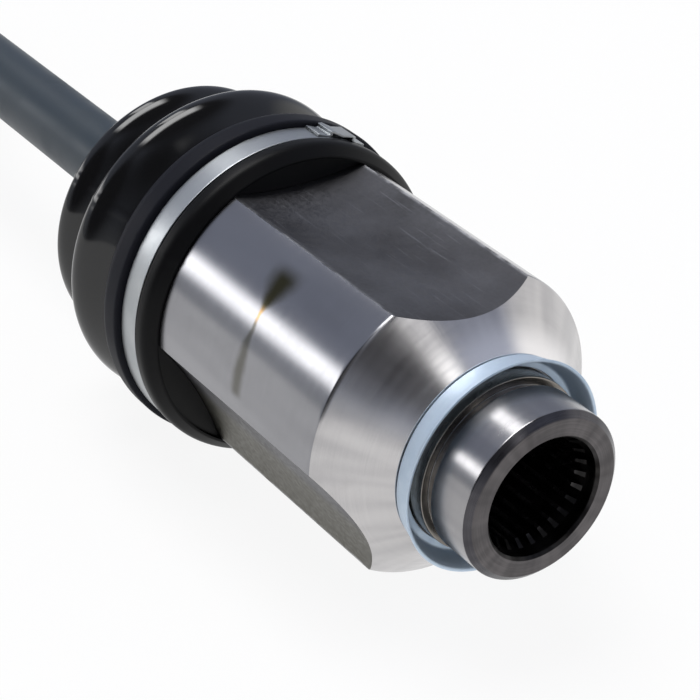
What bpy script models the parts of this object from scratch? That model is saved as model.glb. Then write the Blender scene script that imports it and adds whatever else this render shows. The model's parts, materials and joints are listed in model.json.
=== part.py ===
"""CV axle: a plunging tripod joint with a splined female stub, a bar, and a fixed ball joint.

The axle lies along X at rest, its middle at the origin. The +X end takes the gearbox's
splined shaft; the -X end carries the wheel hub.
"""

import math

import bmesh
import bpy
from mathutils import Matrix

MM = 0.001

# Clearances
SEAT_GAP = 0.3 * MM
ROLLER_TRACK_GAP = 0.65 * MM
BALL_GROOVE_GAP = 1.1 * MM
SPHERE_GAP = 0.5 * MM

# Tripod housing, measured from the end face of the stub
LOBE_RADIUS = 40.0 * MM
LOBE_WALL = 6.5 * MM
FLAT_DEPTH = 5.0 * MM
FLAT_HOLLOW = 2.0 * MM
LOBE_COUNT = 3
FIRST_LOBE_ANGLE = 30.0
STUB_RADIUS = 21.9 * MM
STUB_LENGTH = 13.4 * MM
STUB_CHAMFER_LENGTH = 1.5 * MM
STUB_CHAMFER_DEPTH = 1.7 * MM
NECK_DEPTH = 1.3 * MM
NECK_LENGTH = 2.6 * MM
SHIELD_SEAT_STEP = 0.7 * MM
CONE_DISTANCE = 21.6 * MM
CONE_LENGTH = 13.6 * MM
LOBE_LENGTH = 66.0 * MM
LIP_OVERLAP = 1.2 * MM
BOOT_SEAT_STEP = 1.5 * MM
BOOT_SEAT_LENGTH = 18.6 * MM
MOUTH_FLARE_LENGTH = 9.0 * MM
MOUTH_FLARE_DEPTH = 4.5 * MM
TRACK_FLOOR_STEP = 2.0 * MM

# Female spline and its cap
BORE_RADIUS = 15.3 * MM
BORE_MOUTH_LENGTH = 4.0 * MM
BORE_LENGTH = 36.0 * MM
BORE_TOOTH_HEIGHT = 1.4 * MM
BORE_TEETH = 27
CAP_SEAT_LENGTH = 6.0 * MM
CAP_SEAT_STEP = 1.5 * MM
CAP_WALL = 1.3 * MM
CAP_LENGTH = 5.0 * MM

# Dust shield
SHIELD_RADIUS = 25.7 * MM
SHIELD_LENGTH = 6.6 * MM
SHIELD_FLARE = 2.0 * MM
SHIELD_WALL = 0.9 * MM

# Tripod spider and rollers
TRIPOD_DEPTH = 80.0 * MM
ROLLER_RADIUS = 14.0 * MM
ROLLER_WIDTH = 10.0 * MM
TRUNNION_RADIUS = 7.5 * MM
TRUNNION_END_GAP = 2.3 * MM
NEEDLE_DIAMETER = 1.8 * MM
NEEDLE_COUNT = 16
SPIDER_WIDTH = 20.0 * MM
CLIP_WIDTH = 0.8 * MM
CLIP_HEIGHT = 2.8 * MM
CLIP_GROOVE_DEPTH = 0.8 * MM
CLIP_OPENING = 4.0 * MM
TRUNNION_HEAD = 0.8 * MM

# Bar between the joints
BAR_RADIUS = 10.25 * MM
BAR_SPAN = 330.0 * MM
BAR_SPLINE_RADIUS = 9.6 * MM
BAR_END_LENGTH = 1.5 * MM
BAR_END_CHAMFER = 0.8 * MM
BOOT_SEAT_RISE = 1.95 * MM
RING_WIDTH = 0.8 * MM
RING_HEIGHT = 2.0 * MM
RING_GROOVE_DEPTH = 1.0 * MM
RING_OPENING = 3.0 * MM

# Ball joint
BALL_CIRCLE = 28.2 * MM
BALL_RADIUS = 8.0 * MM
BALL_COUNT = 6
CAGE_WALL = 4.3 * MM
CAGE_WIDTH = 23.2 * MM
RACE_WIDTH = 22.0 * MM
GROOVE_START = -45.0
GROOVE_END = 75.0

# Bell of the ball joint, measured from the joint's centre
BELL_WALL = 3.5 * MM
BELL_BODY_STEP = 2.2 * MM
BELL_MOUTH_REACH = 17.0 * MM
BELL_SEAT_LENGTH = 18.5 * MM
BELL_MOUTH_CHAMFER = 0.8 * MM
BELL_MOUTH_WALL = 4.5 * MM
BELL_BODY_LENGTH = 14.5 * MM
BELL_DOME_LENGTH = 18.0 * MM
BELL_FLANGE_RADIUS = 29.0 * MM
BELL_FLANGE_LENGTH = 6.0 * MM
BELL_SPHERE_OPENING = 5.0 * MM
JOURNAL_RADIUS = 17.5 * MM
JOURNAL_LENGTH = 24.0 * MM
WHEEL_SPLINE_RADIUS = 12.9 * MM
WHEEL_SPLINE_LENGTH = 32.0 * MM
WHEEL_SPLINE_RUNOUT = 2.0 * MM
WHEEL_TOOTH_HEIGHT = 0.9 * MM
WHEEL_TEETH = 26
THREAD_RADIUS = 11.0 * MM
THREAD_LENGTH = 23.5 * MM
THREAD_CHAMFER = 1.3 * MM

# Rubber boots, both moulded to the same cuffs
BOOT_WALL = 1.5 * MM
LIP_LENGTH = 6.3 * MM
LIP_HEIGHT = 1.4 * MM
LIP_EDGE = 0.9 * MM
COLLAR_LENGTH = 4.7 * MM
COLLAR_HEIGHT = 2.6 * MM
SMALL_RIDGE_LENGTH = 1.6 * MM
SMALL_RIDGE_HEIGHT = 1.2 * MM
BUSH_WALL = 1.4 * MM

INBOARD_FOLDS = 2
INBOARD_FOLD_PITCH = 18.7 * MM
INBOARD_FIRST_FOLD = 19.7 * MM
INBOARD_FOLD_RADIUS = 43.8 * MM
INBOARD_FOLD_TAPER = 6.2 * MM
INBOARD_FOLD_DEPTH = 6.7 * MM

OUTBOARD_FOLDS = 5
OUTBOARD_FOLD_PITCH = 12.5 * MM
OUTBOARD_FIRST_FOLD = 11.0 * MM
OUTBOARD_FOLD_RADIUS = 45.0 * MM
OUTBOARD_FOLD_TAPER = 4.6 * MM
OUTBOARD_FOLD_DEPTH = 8.0 * MM

# Band clamps
BAND_WALL = 0.8 * MM
LARGE_BAND_WIDTH = 6.6 * MM
SMALL_BAND_WIDTH = 6.0 * MM
EAR_WIDTH = 11.0 * MM
EAR_HEIGHT = 2.4 * MM
EAR_WALL = 0.8 * MM
EAR_SIDE_STEP = 0.3 * MM
EAR_ANGLE = 67.0

# Shares of a spline tooth's pitch at its root and its tip, to either side of its middle
TOOTH_ROOT_SHARE = 0.40
TOOTH_TIP_SHARE = 0.15

# Roundness of the turned pieces, in steps per turn
HOUSING_STEPS = 40
CUFF_STEPS = 24
RACE_STEPS = 24
BAR_STEPS = 16
SMALL_STEPS = 18
FOLD_POINTS = 3
HOLLOW_POINTS = 6
CROWN_POINTS = 4
SPHERE_POINTS = 4
GROOVE_SIDES = 12
GROOVE_STEPS = 8
BALL_SEGMENTS = 10
BALL_RINGS = 7
SHARP_ANGLE = 30.0
MERGE_DISTANCE = 0.01 * MM

# Radii that follow from those sizes
boot_seat_radius = LOBE_RADIUS - BOOT_SEAT_STEP
flat_distance = LOBE_RADIUS - FLAT_DEPTH
track_outer_radius = LOBE_RADIUS - LOBE_WALL
track_radius = ROLLER_RADIUS + ROLLER_TRACK_GAP
clip_groove_width = CLIP_WIDTH + 2 * SEAT_GAP
trunnion_end = track_outer_radius - TRUNNION_END_GAP
clip_groove_outer = trunnion_end - TRUNNION_HEAD
trunnion_circle = clip_groove_outer - clip_groove_width - SEAT_GAP - ROLLER_WIDTH / 2
spider_radius = trunnion_circle - ROLLER_WIDTH / 2 - SPHERE_GAP
cavity_radius = trunnion_circle + SPHERE_GAP
needle_inner = TRUNNION_RADIUS + SEAT_GAP
needle_outer = needle_inner + NEEDLE_DIAMETER
roller_bore = needle_outer + SEAT_GAP
hub_bore = BAR_SPLINE_RADIUS + SEAT_GAP
groove_radius = BALL_RADIUS + BALL_GROOVE_GAP
cage_inner = BALL_CIRCLE - CAGE_WALL / 2
cage_outer = BALL_CIRCLE + CAGE_WALL / 2
race_radius = cage_inner - SPHERE_GAP
bell_sphere = cage_outer + SPHERE_GAP
bell_seat_radius = BALL_CIRCLE + groove_radius + BELL_WALL
bar_boot_seat = BAR_RADIUS + BOOT_SEAT_RISE
bush_outer = boot_seat_radius + SEAT_GAP + BUSH_WALL
inboard_cuff = bush_outer + SEAT_GAP + BOOT_WALL
outboard_cuff = bell_seat_radius + SEAT_GAP + BOOT_WALL
small_cuff = bar_boot_seat + SEAT_GAP + BOOT_WALL
cap_seat_radius = BORE_RADIUS + CAP_SEAT_STEP

# Stations along the housing, as depths from its end face
cone_end = CONE_DISTANCE + CONE_LENGTH
lip_start = cone_end + LOBE_LENGTH
seat_start = lip_start + LIP_OVERLAP
mouth = seat_start + BOOT_SEAT_LENGTH
cavity_floor = BORE_LENGTH + CAP_SEAT_LENGTH
track_floor = cavity_floor + TRACK_FLOOR_STEP

# Stations along the bell, all on the wheel side of the joint's centre
bell_seat_end = BELL_SEAT_LENGTH - BELL_MOUTH_REACH
bell_body_end = bell_seat_end + BELL_BODY_LENGTH
bell_dome_end = bell_body_end + BELL_DOME_LENGTH
hub_face = bell_dome_end + BELL_FLANGE_LENGTH
journal_end = hub_face + JOURNAL_LENGTH
wheel_spline_end = journal_end + WHEEL_SPLINE_LENGTH
thread_end = wheel_spline_end + THREAD_LENGTH

overall_length = TRIPOD_DEPTH + BAR_SPAN + thread_end
face_x = overall_length / 2
tripod_x = face_x - TRIPOD_DEPTH
ball_joint_x = tripod_x - BAR_SPAN

STEEL = ((0.42, 0.42, 0.43), 0.35, 1.0)
GROUND_STEEL = ((0.55, 0.55, 0.57), 0.25, 1.0)
ZINC = ((0.55, 0.60, 0.68), 0.30, 1.0)
PAINT = ((0.06, 0.08, 0.10), 0.55, 0.0)
RUBBER = ((0.012, 0.012, 0.013), 0.35, 0.0)

for old in list(bpy.data.objects):
    bpy.data.objects.remove(old, do_unlink=True)

parts = bpy.data.collections.new("cv_axle")
cutters = bpy.data.collections.new("cv_axle_cutters")
for collection in (parts, cutters):
    bpy.context.scene.collection.children.link(collection)


def add_empty(name, parent=None, location=(0, 0, 0), turn=0.0):
    """A joint's centre, turned about X by an angle in degrees."""
    empty = bpy.data.objects.new(name, None)
    empty.parent = parent
    empty.location = location
    empty.rotation_euler.x = math.radians(turn)
    empty.empty_display_size = BAR_RADIUS
    parts.objects.link(empty)
    return empty


def surface(name, finish):
    """A material with the piece's own colour, roughness and metallic value."""
    colour, roughness, metallic = finish
    material = bpy.data.materials.new(name)
    material.use_nodes = True
    shader = material.node_tree.nodes["Principled BSDF"]
    shader.inputs["Base Color"].default_value = (*colour, 1.0)
    shader.inputs["Roughness"].default_value = roughness
    shader.inputs["Metallic"].default_value = metallic
    return material


def add_piece(name, mesh, parent, finish=None):
    """One object: a visible sub-part if it has a finish, and otherwise a hidden cutter."""
    piece = bpy.data.objects.new(name, mesh)
    piece.parent = parent
    if finish is None:
        cutters.objects.link(piece)
        piece.hide_render = True
        piece.display_type = "WIRE"
        return piece
    parts.objects.link(piece)
    mesh.materials.append(surface(name, finish))
    return piece


def turned(name, profile, steps, parent, finish=None, closed=True):
    """A body turned about X from (x, radius) points that run down its outer side from +X to -X."""
    mesh = bpy.data.meshes.new(name)
    edges = [(i, i + 1) for i in range(len(profile) - 1)]
    if closed:
        edges.append((len(profile) - 1, 0))
    mesh.from_pydata([(x, radius, 0.0) for x, radius in profile], edges, [])
    piece = add_piece(name, mesh, parent, finish)
    screw = piece.modifiers.new("turn", "SCREW")
    screw.axis = "X"
    screw.steps = steps
    screw.render_steps = steps
    screw.use_merge_vertices = True
    screw.merge_threshold = MERGE_DISTANCE
    return piece


def finished_mesh(name, bm):
    """The bmesh as a mesh with outward, smooth faces and sharp edges."""
    bmesh.ops.recalc_face_normals(bm, faces=bm.faces)
    mesh = bpy.data.meshes.new(name)
    bm.to_mesh(mesh)
    bm.free()
    mesh.shade_smooth()
    mesh.set_sharp_from_angle(angle=math.radians(SHARP_ANGLE))
    return mesh


def extrude_along_x(bm, faces, length):
    made = bmesh.ops.extrude_face_region(bm, geom=faces)
    moved = [v for v in made["geom"] if isinstance(v, bmesh.types.BMVert)]
    bmesh.ops.translate(bm, verts=moved, vec=(length, 0, 0))


def prism(name, outline, start, end, parent, finish=None):
    """An outline of (y, z) points drawn out along X."""
    bm = bmesh.new()
    ring = [bm.verts.new((start, y, z)) for y, z in outline]
    extrude_along_x(bm, [bm.faces.new(ring)], end - start)
    return add_piece(name, finished_mesh(name, bm), parent, finish)


def block(name, low, high, parent):
    """A box between two corners, for cutting or joining."""
    bm = bmesh.new()
    size = [b - a for a, b in zip(low, high)]
    middle = [(a + b) / 2 for a, b in zip(low, high)]
    bmesh.ops.create_cube(bm, size=1.0, matrix=Matrix.Translation(middle) @ Matrix.Diagonal((*size, 1)))
    return add_piece(name, finished_mesh(name, bm), parent)


def combine(piece, tool, operation):
    modifier = piece.modifiers.new(f"{operation.lower()}_{tool.name}", "BOOLEAN")
    modifier.operation = operation
    modifier.object = tool


def arc(radius, start, end, count, centre=(0.0, 0.0)):
    """Points on a circle, with angles in degrees from +X towards +radius."""
    angles = [math.radians(start + (end - start) * i / count) for i in range(count + 1)]
    return [(centre[0] + radius * math.cos(a), centre[1] + radius * math.sin(a)) for a in angles]


def toothed(root, tip, teeth):
    """A spline's outline: straight flanks between a root and a tip circle."""
    flank = ((TOOTH_TIP_SHARE, tip), (TOOTH_ROOT_SHARE, root))
    corners = [(-share, radius) for share, radius in reversed(flank)] + list(flank)
    points = []
    for tooth in range(teeth):
        for share, radius in corners:
            angle = 2 * math.pi * (tooth + share) / teeth
            points.append((radius * math.cos(angle), radius * math.sin(angle)))
    return points


def mark_angles(first, count):
    return [first + 360.0 * i / count for i in range(count)]


stub = add_empty("stub_face", location=(face_x, 0, 0))
tripod = add_empty("tripod_centre", location=(tripod_x, 0, 0))
ball_joint = add_empty("ball_joint_centre", location=(ball_joint_x, 0, 0))
lobe_angles = mark_angles(FIRST_LOBE_ANGLE, LOBE_COUNT)
flat_angles = mark_angles(FIRST_LOBE_ANGLE + 180.0 / LOBE_COUNT, LOBE_COUNT)


def hollow_outline(gap=0.0):
    """The hollow between two lobes in (radial, tangential) points, moved outwards by a gap."""
    half_chord = math.sqrt(LOBE_RADIUS**2 - flat_distance**2)
    radius = (half_chord**2 + FLAT_HOLLOW**2) / (2 * FLAT_HOLLOW)
    centre = flat_distance - FLAT_HOLLOW + radius + gap
    spread = math.degrees(math.asin((half_chord + FLAT_DEPTH) / radius))
    floor = arc(radius, 180 - spread, 180 + spread, HOLLOW_POINTS, (centre, 0.0))
    beyond = LOBE_RADIUS + FLAT_DEPTH
    return floor + [(beyond, floor[-1][1]), (beyond, floor[0][1])]


def track_outline():
    """One roller track in (radial, tangential) points: straight inside, round at the roller's flanks."""
    reach = track_outer_radius**2 - trunnion_circle**2 - track_radius**2
    flank_end = math.degrees(math.asin(reach / (2 * trunnion_circle * track_radius)))
    flank = arc(track_radius, 90, 90 - flank_end, CROWN_POINTS, (trunnion_circle, 0.0))
    corner = math.degrees(math.atan2(flank[-1][1], flank[-1][0]))
    roof = arc(track_outer_radius, corner, -corner, 2 * CROWN_POINTS)[1:-1]
    mirrored = [(radial, -tangent) for radial, tangent in reversed(flank)]
    return [(0.0, track_radius)] + flank + roof + mirrored + [(0.0, -track_radius)]


def make_housing():
    neck_radius = STUB_RADIUS - NECK_DEPTH
    shield_seat = STUB_RADIUS + SHIELD_SEAT_STEP
    tooth_radius = BORE_RADIUS - BORE_TOOTH_HEIGHT
    outside = [
        (0.0, STUB_RADIUS - STUB_CHAMFER_DEPTH),
        (-STUB_CHAMFER_LENGTH, STUB_RADIUS),
        (-STUB_LENGTH, STUB_RADIUS),
        (-STUB_LENGTH, neck_radius),
        (-STUB_LENGTH - NECK_LENGTH, neck_radius),
        (-STUB_LENGTH - NECK_LENGTH, shield_seat),
        (-CONE_DISTANCE, shield_seat),
        (-CONE_DISTANCE, SHIELD_RADIUS),
        (-cone_end, LOBE_RADIUS),
        (-seat_start, LOBE_RADIUS),
        (-seat_start, boot_seat_radius),
        (-mouth, boot_seat_radius),
    ]
    inside = [
        (-mouth, cavity_radius + MOUTH_FLARE_DEPTH),
        (-mouth + MOUTH_FLARE_LENGTH, cavity_radius),
        (-cavity_floor, cavity_radius),
        (-cavity_floor, cap_seat_radius),
        (-BORE_LENGTH, cap_seat_radius),
        (-BORE_LENGTH, tooth_radius),
        (-BORE_MOUTH_LENGTH, tooth_radius),
        (-BORE_MOUTH_LENGTH + BORE_TOOTH_HEIGHT, BORE_RADIUS),
        (0.0, BORE_RADIUS),
    ]
    housing = turned("inboard_housing", outside + inside, HOUSING_STEPS, stub, GROUND_STEEL)
    teeth = toothed(tooth_radius - SEAT_GAP, BORE_RADIUS, BORE_TEETH)
    spline = prism("bore_spline", teeth, -BORE_LENGTH - CAP_SEAT_LENGTH / 2, -BORE_MOUTH_LENGTH / 2, stub)
    combine(housing, spline, "DIFFERENCE")
    for number, angle in enumerate(flat_angles, 1):
        hollow = prism(f"hollow_cut_{number}", hollow_outline(), -mouth - LOBE_WALL, -CONE_DISTANCE, stub)
        hollow.rotation_euler.x = math.radians(angle)
        combine(housing, hollow, "DIFFERENCE")
    for number, angle in enumerate(lobe_angles, 1):
        track = prism(f"track_cut_{number}", track_outline(), -mouth - LOBE_WALL, -track_floor, stub)
        track.rotation_euler.x = math.radians(angle)
        combine(housing, track, "DIFFERENCE")


def make_dust_shield():
    back = CONE_DISTANCE - SEAT_GAP
    front = back - SHIELD_LENGTH
    inner = SHIELD_RADIUS - SHIELD_WALL
    seat = STUB_RADIUS + SHIELD_SEAT_STEP + SEAT_GAP
    profile = [
        (-front, SHIELD_RADIUS + SHIELD_FLARE),
        (-back, SHIELD_RADIUS),
        (-back, seat),
        (-back + SHIELD_WALL, seat),
        (-back + SHIELD_WALL, inner),
        (-front, inner + SHIELD_FLARE),
    ]
    turned("dust_shield", profile, HOUSING_STEPS, stub, ZINC)


def make_grease_cap():
    outer = cap_seat_radius - SEAT_GAP
    front = BORE_LENGTH + SEAT_GAP
    profile = [
        (-front, 0.0),
        (-front, outer - CAP_WALL),
        (-front - CAP_WALL, outer),
        (-front - CAP_LENGTH, outer),
        (-front - CAP_LENGTH, outer - CAP_WALL),
        (-front - CAP_WALL, outer - 2 * CAP_WALL),
        (-front - CAP_WALL, 0.0),
    ]
    turned("grease_cap", profile, SMALL_STEPS, stub, STEEL, closed=False)


def make_bush():
    """The ring that fills the hollows, so that a round boot seals on a housing with lobes."""
    start = -seat_start - SEAT_GAP
    end = start - (LIP_LENGTH + LARGE_BAND_WIDTH + COLLAR_LENGTH - LIP_OVERLAP)
    core_radius = boot_seat_radius + SEAT_GAP
    inner = core_radius - FLAT_DEPTH - FLAT_HOLLOW
    profile = [(start, bush_outer), (end, bush_outer), (end, inner), (start, inner)]
    bush = turned("trilobe_bush", profile, CUFF_STEPS, stub, RUBBER)
    ahead, behind = start + LIP_LENGTH, end - LIP_LENGTH
    rod = [(ahead, 0.0), (ahead, core_radius), (behind, core_radius), (behind, 0.0)]
    core = turned("bush_core", rod, HOUSING_STEPS, stub, closed=False)
    for number, angle in enumerate(flat_angles, 1):
        outline = hollow_outline(SEAT_GAP)
        hollow = prism(f"bush_fill_{number}", outline, behind - LIP_LENGTH, ahead + LIP_LENGTH, stub)
        hollow.rotation_euler.x = math.radians(angle)
        combine(core, hollow, "DIFFERENCE")
    combine(bush, core, "DIFFERENCE")


def make_band(name, cuff, start, width, parent, ear_angle):
    """A clamp band from x = start towards -X, with a hollow crimped ear."""
    inner = cuff + SEAT_GAP
    outer = inner + BAND_WALL
    profile = [(start, outer), (start - width, outer), (start - width, inner), (start, inner)]
    band = turned(name, profile, CUFF_STEPS, parent, ZINC)
    near, far = start - width + EAR_SIDE_STEP, start - EAR_SIDE_STEP
    top = outer + EAR_HEIGHT
    root = inner + BAND_WALL / 2
    ear = block(f"{name}_ear", (near, root, -EAR_WIDTH / 2), (far, top, EAR_WIDTH / 2), parent)
    ear.rotation_euler.x = math.radians(ear_angle)
    bevel = ear.modifiers.new("crimp", "BEVEL")
    bevel.width = EAR_WALL
    bevel.segments = 2
    bevel.limit_method = "ANGLE"
    combine(band, ear, "UNION")
    side = EAR_WIDTH / 2 - EAR_WALL
    low = (start - 2 * width, outer + EAR_WALL / 2, -side)
    high = (start + width, top - EAR_WALL, side)
    hollow = block(f"{name}_ear_hollow", low, high, parent)
    hollow.rotation_euler.x = math.radians(ear_angle)
    combine(band, hollow, "DIFFERENCE")


def eased(first, last, count):
    """Points after a turning point of a fold, along half a cosine wave, up to the next one."""
    points = []
    for i in range(1, count + 1):
        share = i / count
        rise = (1 - math.cos(math.pi * share)) / 2
        points.append((first[0] + (last[0] - first[0]) * share, first[1] + (last[1] - first[1]) * rise))
    return points


def boot_loop(cuff, folds, pitch, first_fold, radius, taper, depth):
    """A boot's closed section in (distance from the lip, radius), and where its small groove starts."""
    groove_end = LIP_LENGTH + LARGE_BAND_WIDTH + 2 * SEAT_GAP
    collar_end = groove_end + COLLAR_LENGTH
    outside = [
        (0.0, cuff + LIP_HEIGHT - LIP_EDGE),
        (LIP_EDGE, cuff + LIP_HEIGHT),
        (LIP_LENGTH - LIP_EDGE, cuff + LIP_HEIGHT),
        (LIP_LENGTH, cuff),
        (groove_end, cuff),
        (groove_end + LIP_EDGE, cuff + COLLAR_HEIGHT),
        (collar_end, cuff + COLLAR_HEIGHT),
    ]
    inside = [(0.0, cuff - BOOT_WALL), (collar_end, cuff - BOOT_WALL)]
    turns = []
    for fold in range(folds):
        crest = collar_end + first_fold + fold * pitch
        crest_radius = radius - fold * taper
        turns.append((crest - pitch / 2, crest_radius - depth))
        turns.append((crest, crest_radius))
    for turn in turns:
        outside += eased(outside[-1], turn, FOLD_POINTS)
        inside.append((turn[0], turn[1] - BOOT_WALL))
    ridge = small_cuff + SMALL_RIDGE_HEIGHT
    small_start = turns[-1][0] + pitch / 2
    last_wave = eased(outside[-1], (small_start, ridge), 2 * FOLD_POINTS)
    outside += last_wave
    inside += [(x, r - BOOT_WALL) for x, r in last_wave[:-1]]
    groove_start = small_start + SMALL_RIDGE_LENGTH
    small_end = groove_start + SMALL_BAND_WIDTH + 2 * SEAT_GAP
    outside += [
        (groove_start, ridge),
        (groove_start, small_cuff),
        (small_end, small_cuff),
        (small_end, ridge),
        (small_end + SMALL_RIDGE_LENGTH, ridge),
    ]
    bore = small_cuff - BOOT_WALL
    inside += [(small_start, bore), (small_end + SMALL_RIDGE_LENGTH, bore)]
    return outside + inside[::-1], groove_start


def inboard_boot_section():
    return boot_loop(
        inboard_cuff,
        INBOARD_FOLDS,
        INBOARD_FOLD_PITCH,
        INBOARD_FIRST_FOLD,
        INBOARD_FOLD_RADIUS,
        INBOARD_FOLD_TAPER,
        INBOARD_FOLD_DEPTH,
    )


def outboard_boot_section():
    return boot_loop(
        outboard_cuff,
        OUTBOARD_FOLDS,
        OUTBOARD_FOLD_PITCH,
        OUTBOARD_FIRST_FOLD,
        OUTBOARD_FOLD_RADIUS,
        OUTBOARD_FOLD_TAPER,
        OUTBOARD_FOLD_DEPTH,
    )


# Both boots' lips, measured from the centres of their joints: towards -X, and towards +X
inboard_lip = TRIPOD_DEPTH - lip_start
outboard_lip = -bell_seat_end + SEAT_GAP


def make_boots():
    loop, groove = inboard_boot_section()
    turned("inboard_boot", [(inboard_lip - d, r) for d, r in loop], CUFF_STEPS, tripod, RUBBER)
    band = inboard_lip - LIP_LENGTH - SEAT_GAP
    make_band("inboard_large_clamp", inboard_cuff, band, LARGE_BAND_WIDTH, tripod, EAR_ANGLE)
    band = inboard_lip - groove - SEAT_GAP
    make_band("inboard_small_clamp", small_cuff, band, SMALL_BAND_WIDTH, tripod, EAR_ANGLE)
    loop, groove = outboard_boot_section()
    section = [(outboard_lip + d, r) for d, r in reversed(loop)]
    turned("outboard_boot", section, CUFF_STEPS, ball_joint, RUBBER)
    band = outboard_lip + LIP_LENGTH + SEAT_GAP + LARGE_BAND_WIDTH
    make_band("outboard_large_clamp", outboard_cuff, band, LARGE_BAND_WIDTH, ball_joint, EAR_ANGLE)
    band = outboard_lip + groove + SEAT_GAP + SMALL_BAND_WIDTH
    make_band("outboard_small_clamp", small_cuff, band, SMALL_BAND_WIDTH, ball_joint, EAR_ANGLE)


def bar_end(hub_width, shoulder_radius):
    """One splined end of the bar, as (distance, radius) from its tip to the shoulder behind the hub."""
    groove_root = BAR_SPLINE_RADIUS - RING_GROOVE_DEPTH
    groove_start = hub_width / 2 + SEAT_GAP
    groove_end = groove_start + RING_WIDTH + 2 * SEAT_GAP
    tip = groove_end + BAR_END_LENGTH
    return [
        (tip, 0.0),
        (tip, BAR_SPLINE_RADIUS - BAR_END_CHAMFER),
        (tip - BAR_END_CHAMFER, BAR_SPLINE_RADIUS),
        (groove_end, BAR_SPLINE_RADIUS),
        (groove_end, groove_root),
        (groove_start, groove_root),
        (groove_start, BAR_SPLINE_RADIUS),
        (-groove_start, BAR_SPLINE_RADIUS),
        (-groove_start, shoulder_radius),
    ]


def make_bar():
    def boot_seat(start, end):
        """The raised seat of a small cuff, between two x stations that run towards -X."""
        return [
            (start + BOOT_SEAT_RISE, BAR_RADIUS),
            (start, bar_boot_seat),
            (end, bar_boot_seat),
            (end - BOOT_SEAT_RISE, BAR_RADIUS),
        ]

    cuff_length = 2 * SMALL_RIDGE_LENGTH + SMALL_BAND_WIDTH + 2 * SEAT_GAP
    inboard_seat = inboard_lip - inboard_boot_section()[1] + SMALL_RIDGE_LENGTH
    outboard_seat = outboard_lip + outboard_boot_section()[1] - SMALL_RIDGE_LENGTH - BAR_SPAN
    profile = bar_end(SPIDER_WIDTH, BAR_RADIUS)
    profile += boot_seat(inboard_seat, inboard_seat - cuff_length)
    profile += boot_seat(outboard_seat + cuff_length, outboard_seat)
    profile += [(-BAR_SPAN - d, r) for d, r in reversed(bar_end(RACE_WIDTH, BAR_RADIUS))]
    turned("axle_shaft", profile, BAR_STEPS, tripod, PAINT, closed=False)


def make_ring(name, parent, x, root, height, width, opening):
    """An open retaining ring from x towards +X, with its gap upwards."""
    inner = root + SEAT_GAP
    outer = inner + height
    profile = [(x + width, outer), (x, outer), (x, inner), (x + width, inner)]
    ring = turned(name, profile, SMALL_STEPS, parent, STEEL)
    low = (x - width, 0, -opening / 2)
    high = (x + 2 * width, 2 * outer, opening / 2)
    gap = block(f"{name}_gap", low, high, parent)
    combine(ring, gap, "DIFFERENCE")
    return ring, gap


def place_on_trunnion(piece):
    """Turns a piece's own X outwards along the trunnion that is its parent."""
    piece.location = (0.0, trunnion_circle, 0.0)
    piece.rotation_euler.z = math.pi / 2


def make_trunnion(spider, number, angle):
    axis = add_empty(f"trunnion_axis_{number}", tripod, turn=angle)
    clip_root = TRUNNION_RADIUS - CLIP_GROOVE_DEPTH
    end = trunnion_end - trunnion_circle
    groove_outer = clip_groove_outer - trunnion_circle
    groove_inner = groove_outer - clip_groove_width
    pin = [
        (end, 0.0),
        (end, TRUNNION_RADIUS),
        (groove_outer, TRUNNION_RADIUS),
        (groove_outer, clip_root),
        (groove_inner, clip_root),
        (groove_inner, TRUNNION_RADIUS),
        (hub_bore + SPHERE_GAP - trunnion_circle, TRUNNION_RADIUS),
        (hub_bore + SPHERE_GAP - trunnion_circle, 0.0),
    ]
    trunnion = turned(f"trunnion_{number}", pin, SMALL_STEPS, axis, closed=False)
    place_on_trunnion(trunnion)
    combine(spider, trunnion, "UNION")

    edge = math.degrees(math.asin(ROLLER_WIDTH / 2 / ROLLER_RADIUS))
    crown = arc(ROLLER_RADIUS, 90 - edge, 90 + edge, CROWN_POINTS)
    bore = [(-ROLLER_WIDTH / 2, roller_bore), (ROLLER_WIDTH / 2, roller_bore)]
    roller = turned(f"roller_{number}", crown + bore, SMALL_STEPS, axis, GROUND_STEEL)
    place_on_trunnion(roller)

    needle_length = ROLLER_WIDTH - 2 * SEAT_GAP
    outline = []
    for i in range(2 * NEEDLE_COUNT):
        radius = needle_outer if i % 2 else needle_outer - NEEDLE_DIAMETER / 4
        angle_now = math.pi * i / NEEDLE_COUNT
        outline.append((radius * math.cos(angle_now), radius * math.sin(angle_now)))
    needles = prism(
        f"needle_ring_{number}", outline, -needle_length / 2, needle_length / 2, axis, STEEL
    )
    place_on_trunnion(needles)
    hole = [
        (ROLLER_WIDTH, 0.0),
        (ROLLER_WIDTH, needle_inner),
        (-ROLLER_WIDTH, needle_inner),
        (-ROLLER_WIDTH, 0.0),
    ]
    needle_hole = turned(f"needle_hole_{number}", hole, SMALL_STEPS, axis, closed=False)
    place_on_trunnion(needle_hole)
    combine(needles, needle_hole, "DIFFERENCE")

    name = f"roller_clip_{number}"
    start = groove_inner + SEAT_GAP
    clip, gap = make_ring(name, axis, start, clip_root, CLIP_HEIGHT, CLIP_WIDTH, CLIP_OPENING)
    place_on_trunnion(clip)
    place_on_trunnion(gap)


def make_tripod():
    half = SPIDER_WIDTH / 2
    profile = [(half, spider_radius), (-half, spider_radius), (-half, hub_bore), (half, hub_bore)]
    spider = turned("tripod_spider", profile, SMALL_STEPS, tripod, STEEL)
    for number, angle in enumerate(lobe_angles, 1):
        make_trunnion(spider, number, angle)
    root = BAR_SPLINE_RADIUS - RING_GROOVE_DEPTH
    make_ring("spider_ring", tripod, half + 2 * SEAT_GAP, root, RING_HEIGHT, RING_WIDTH, RING_OPENING)


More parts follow.
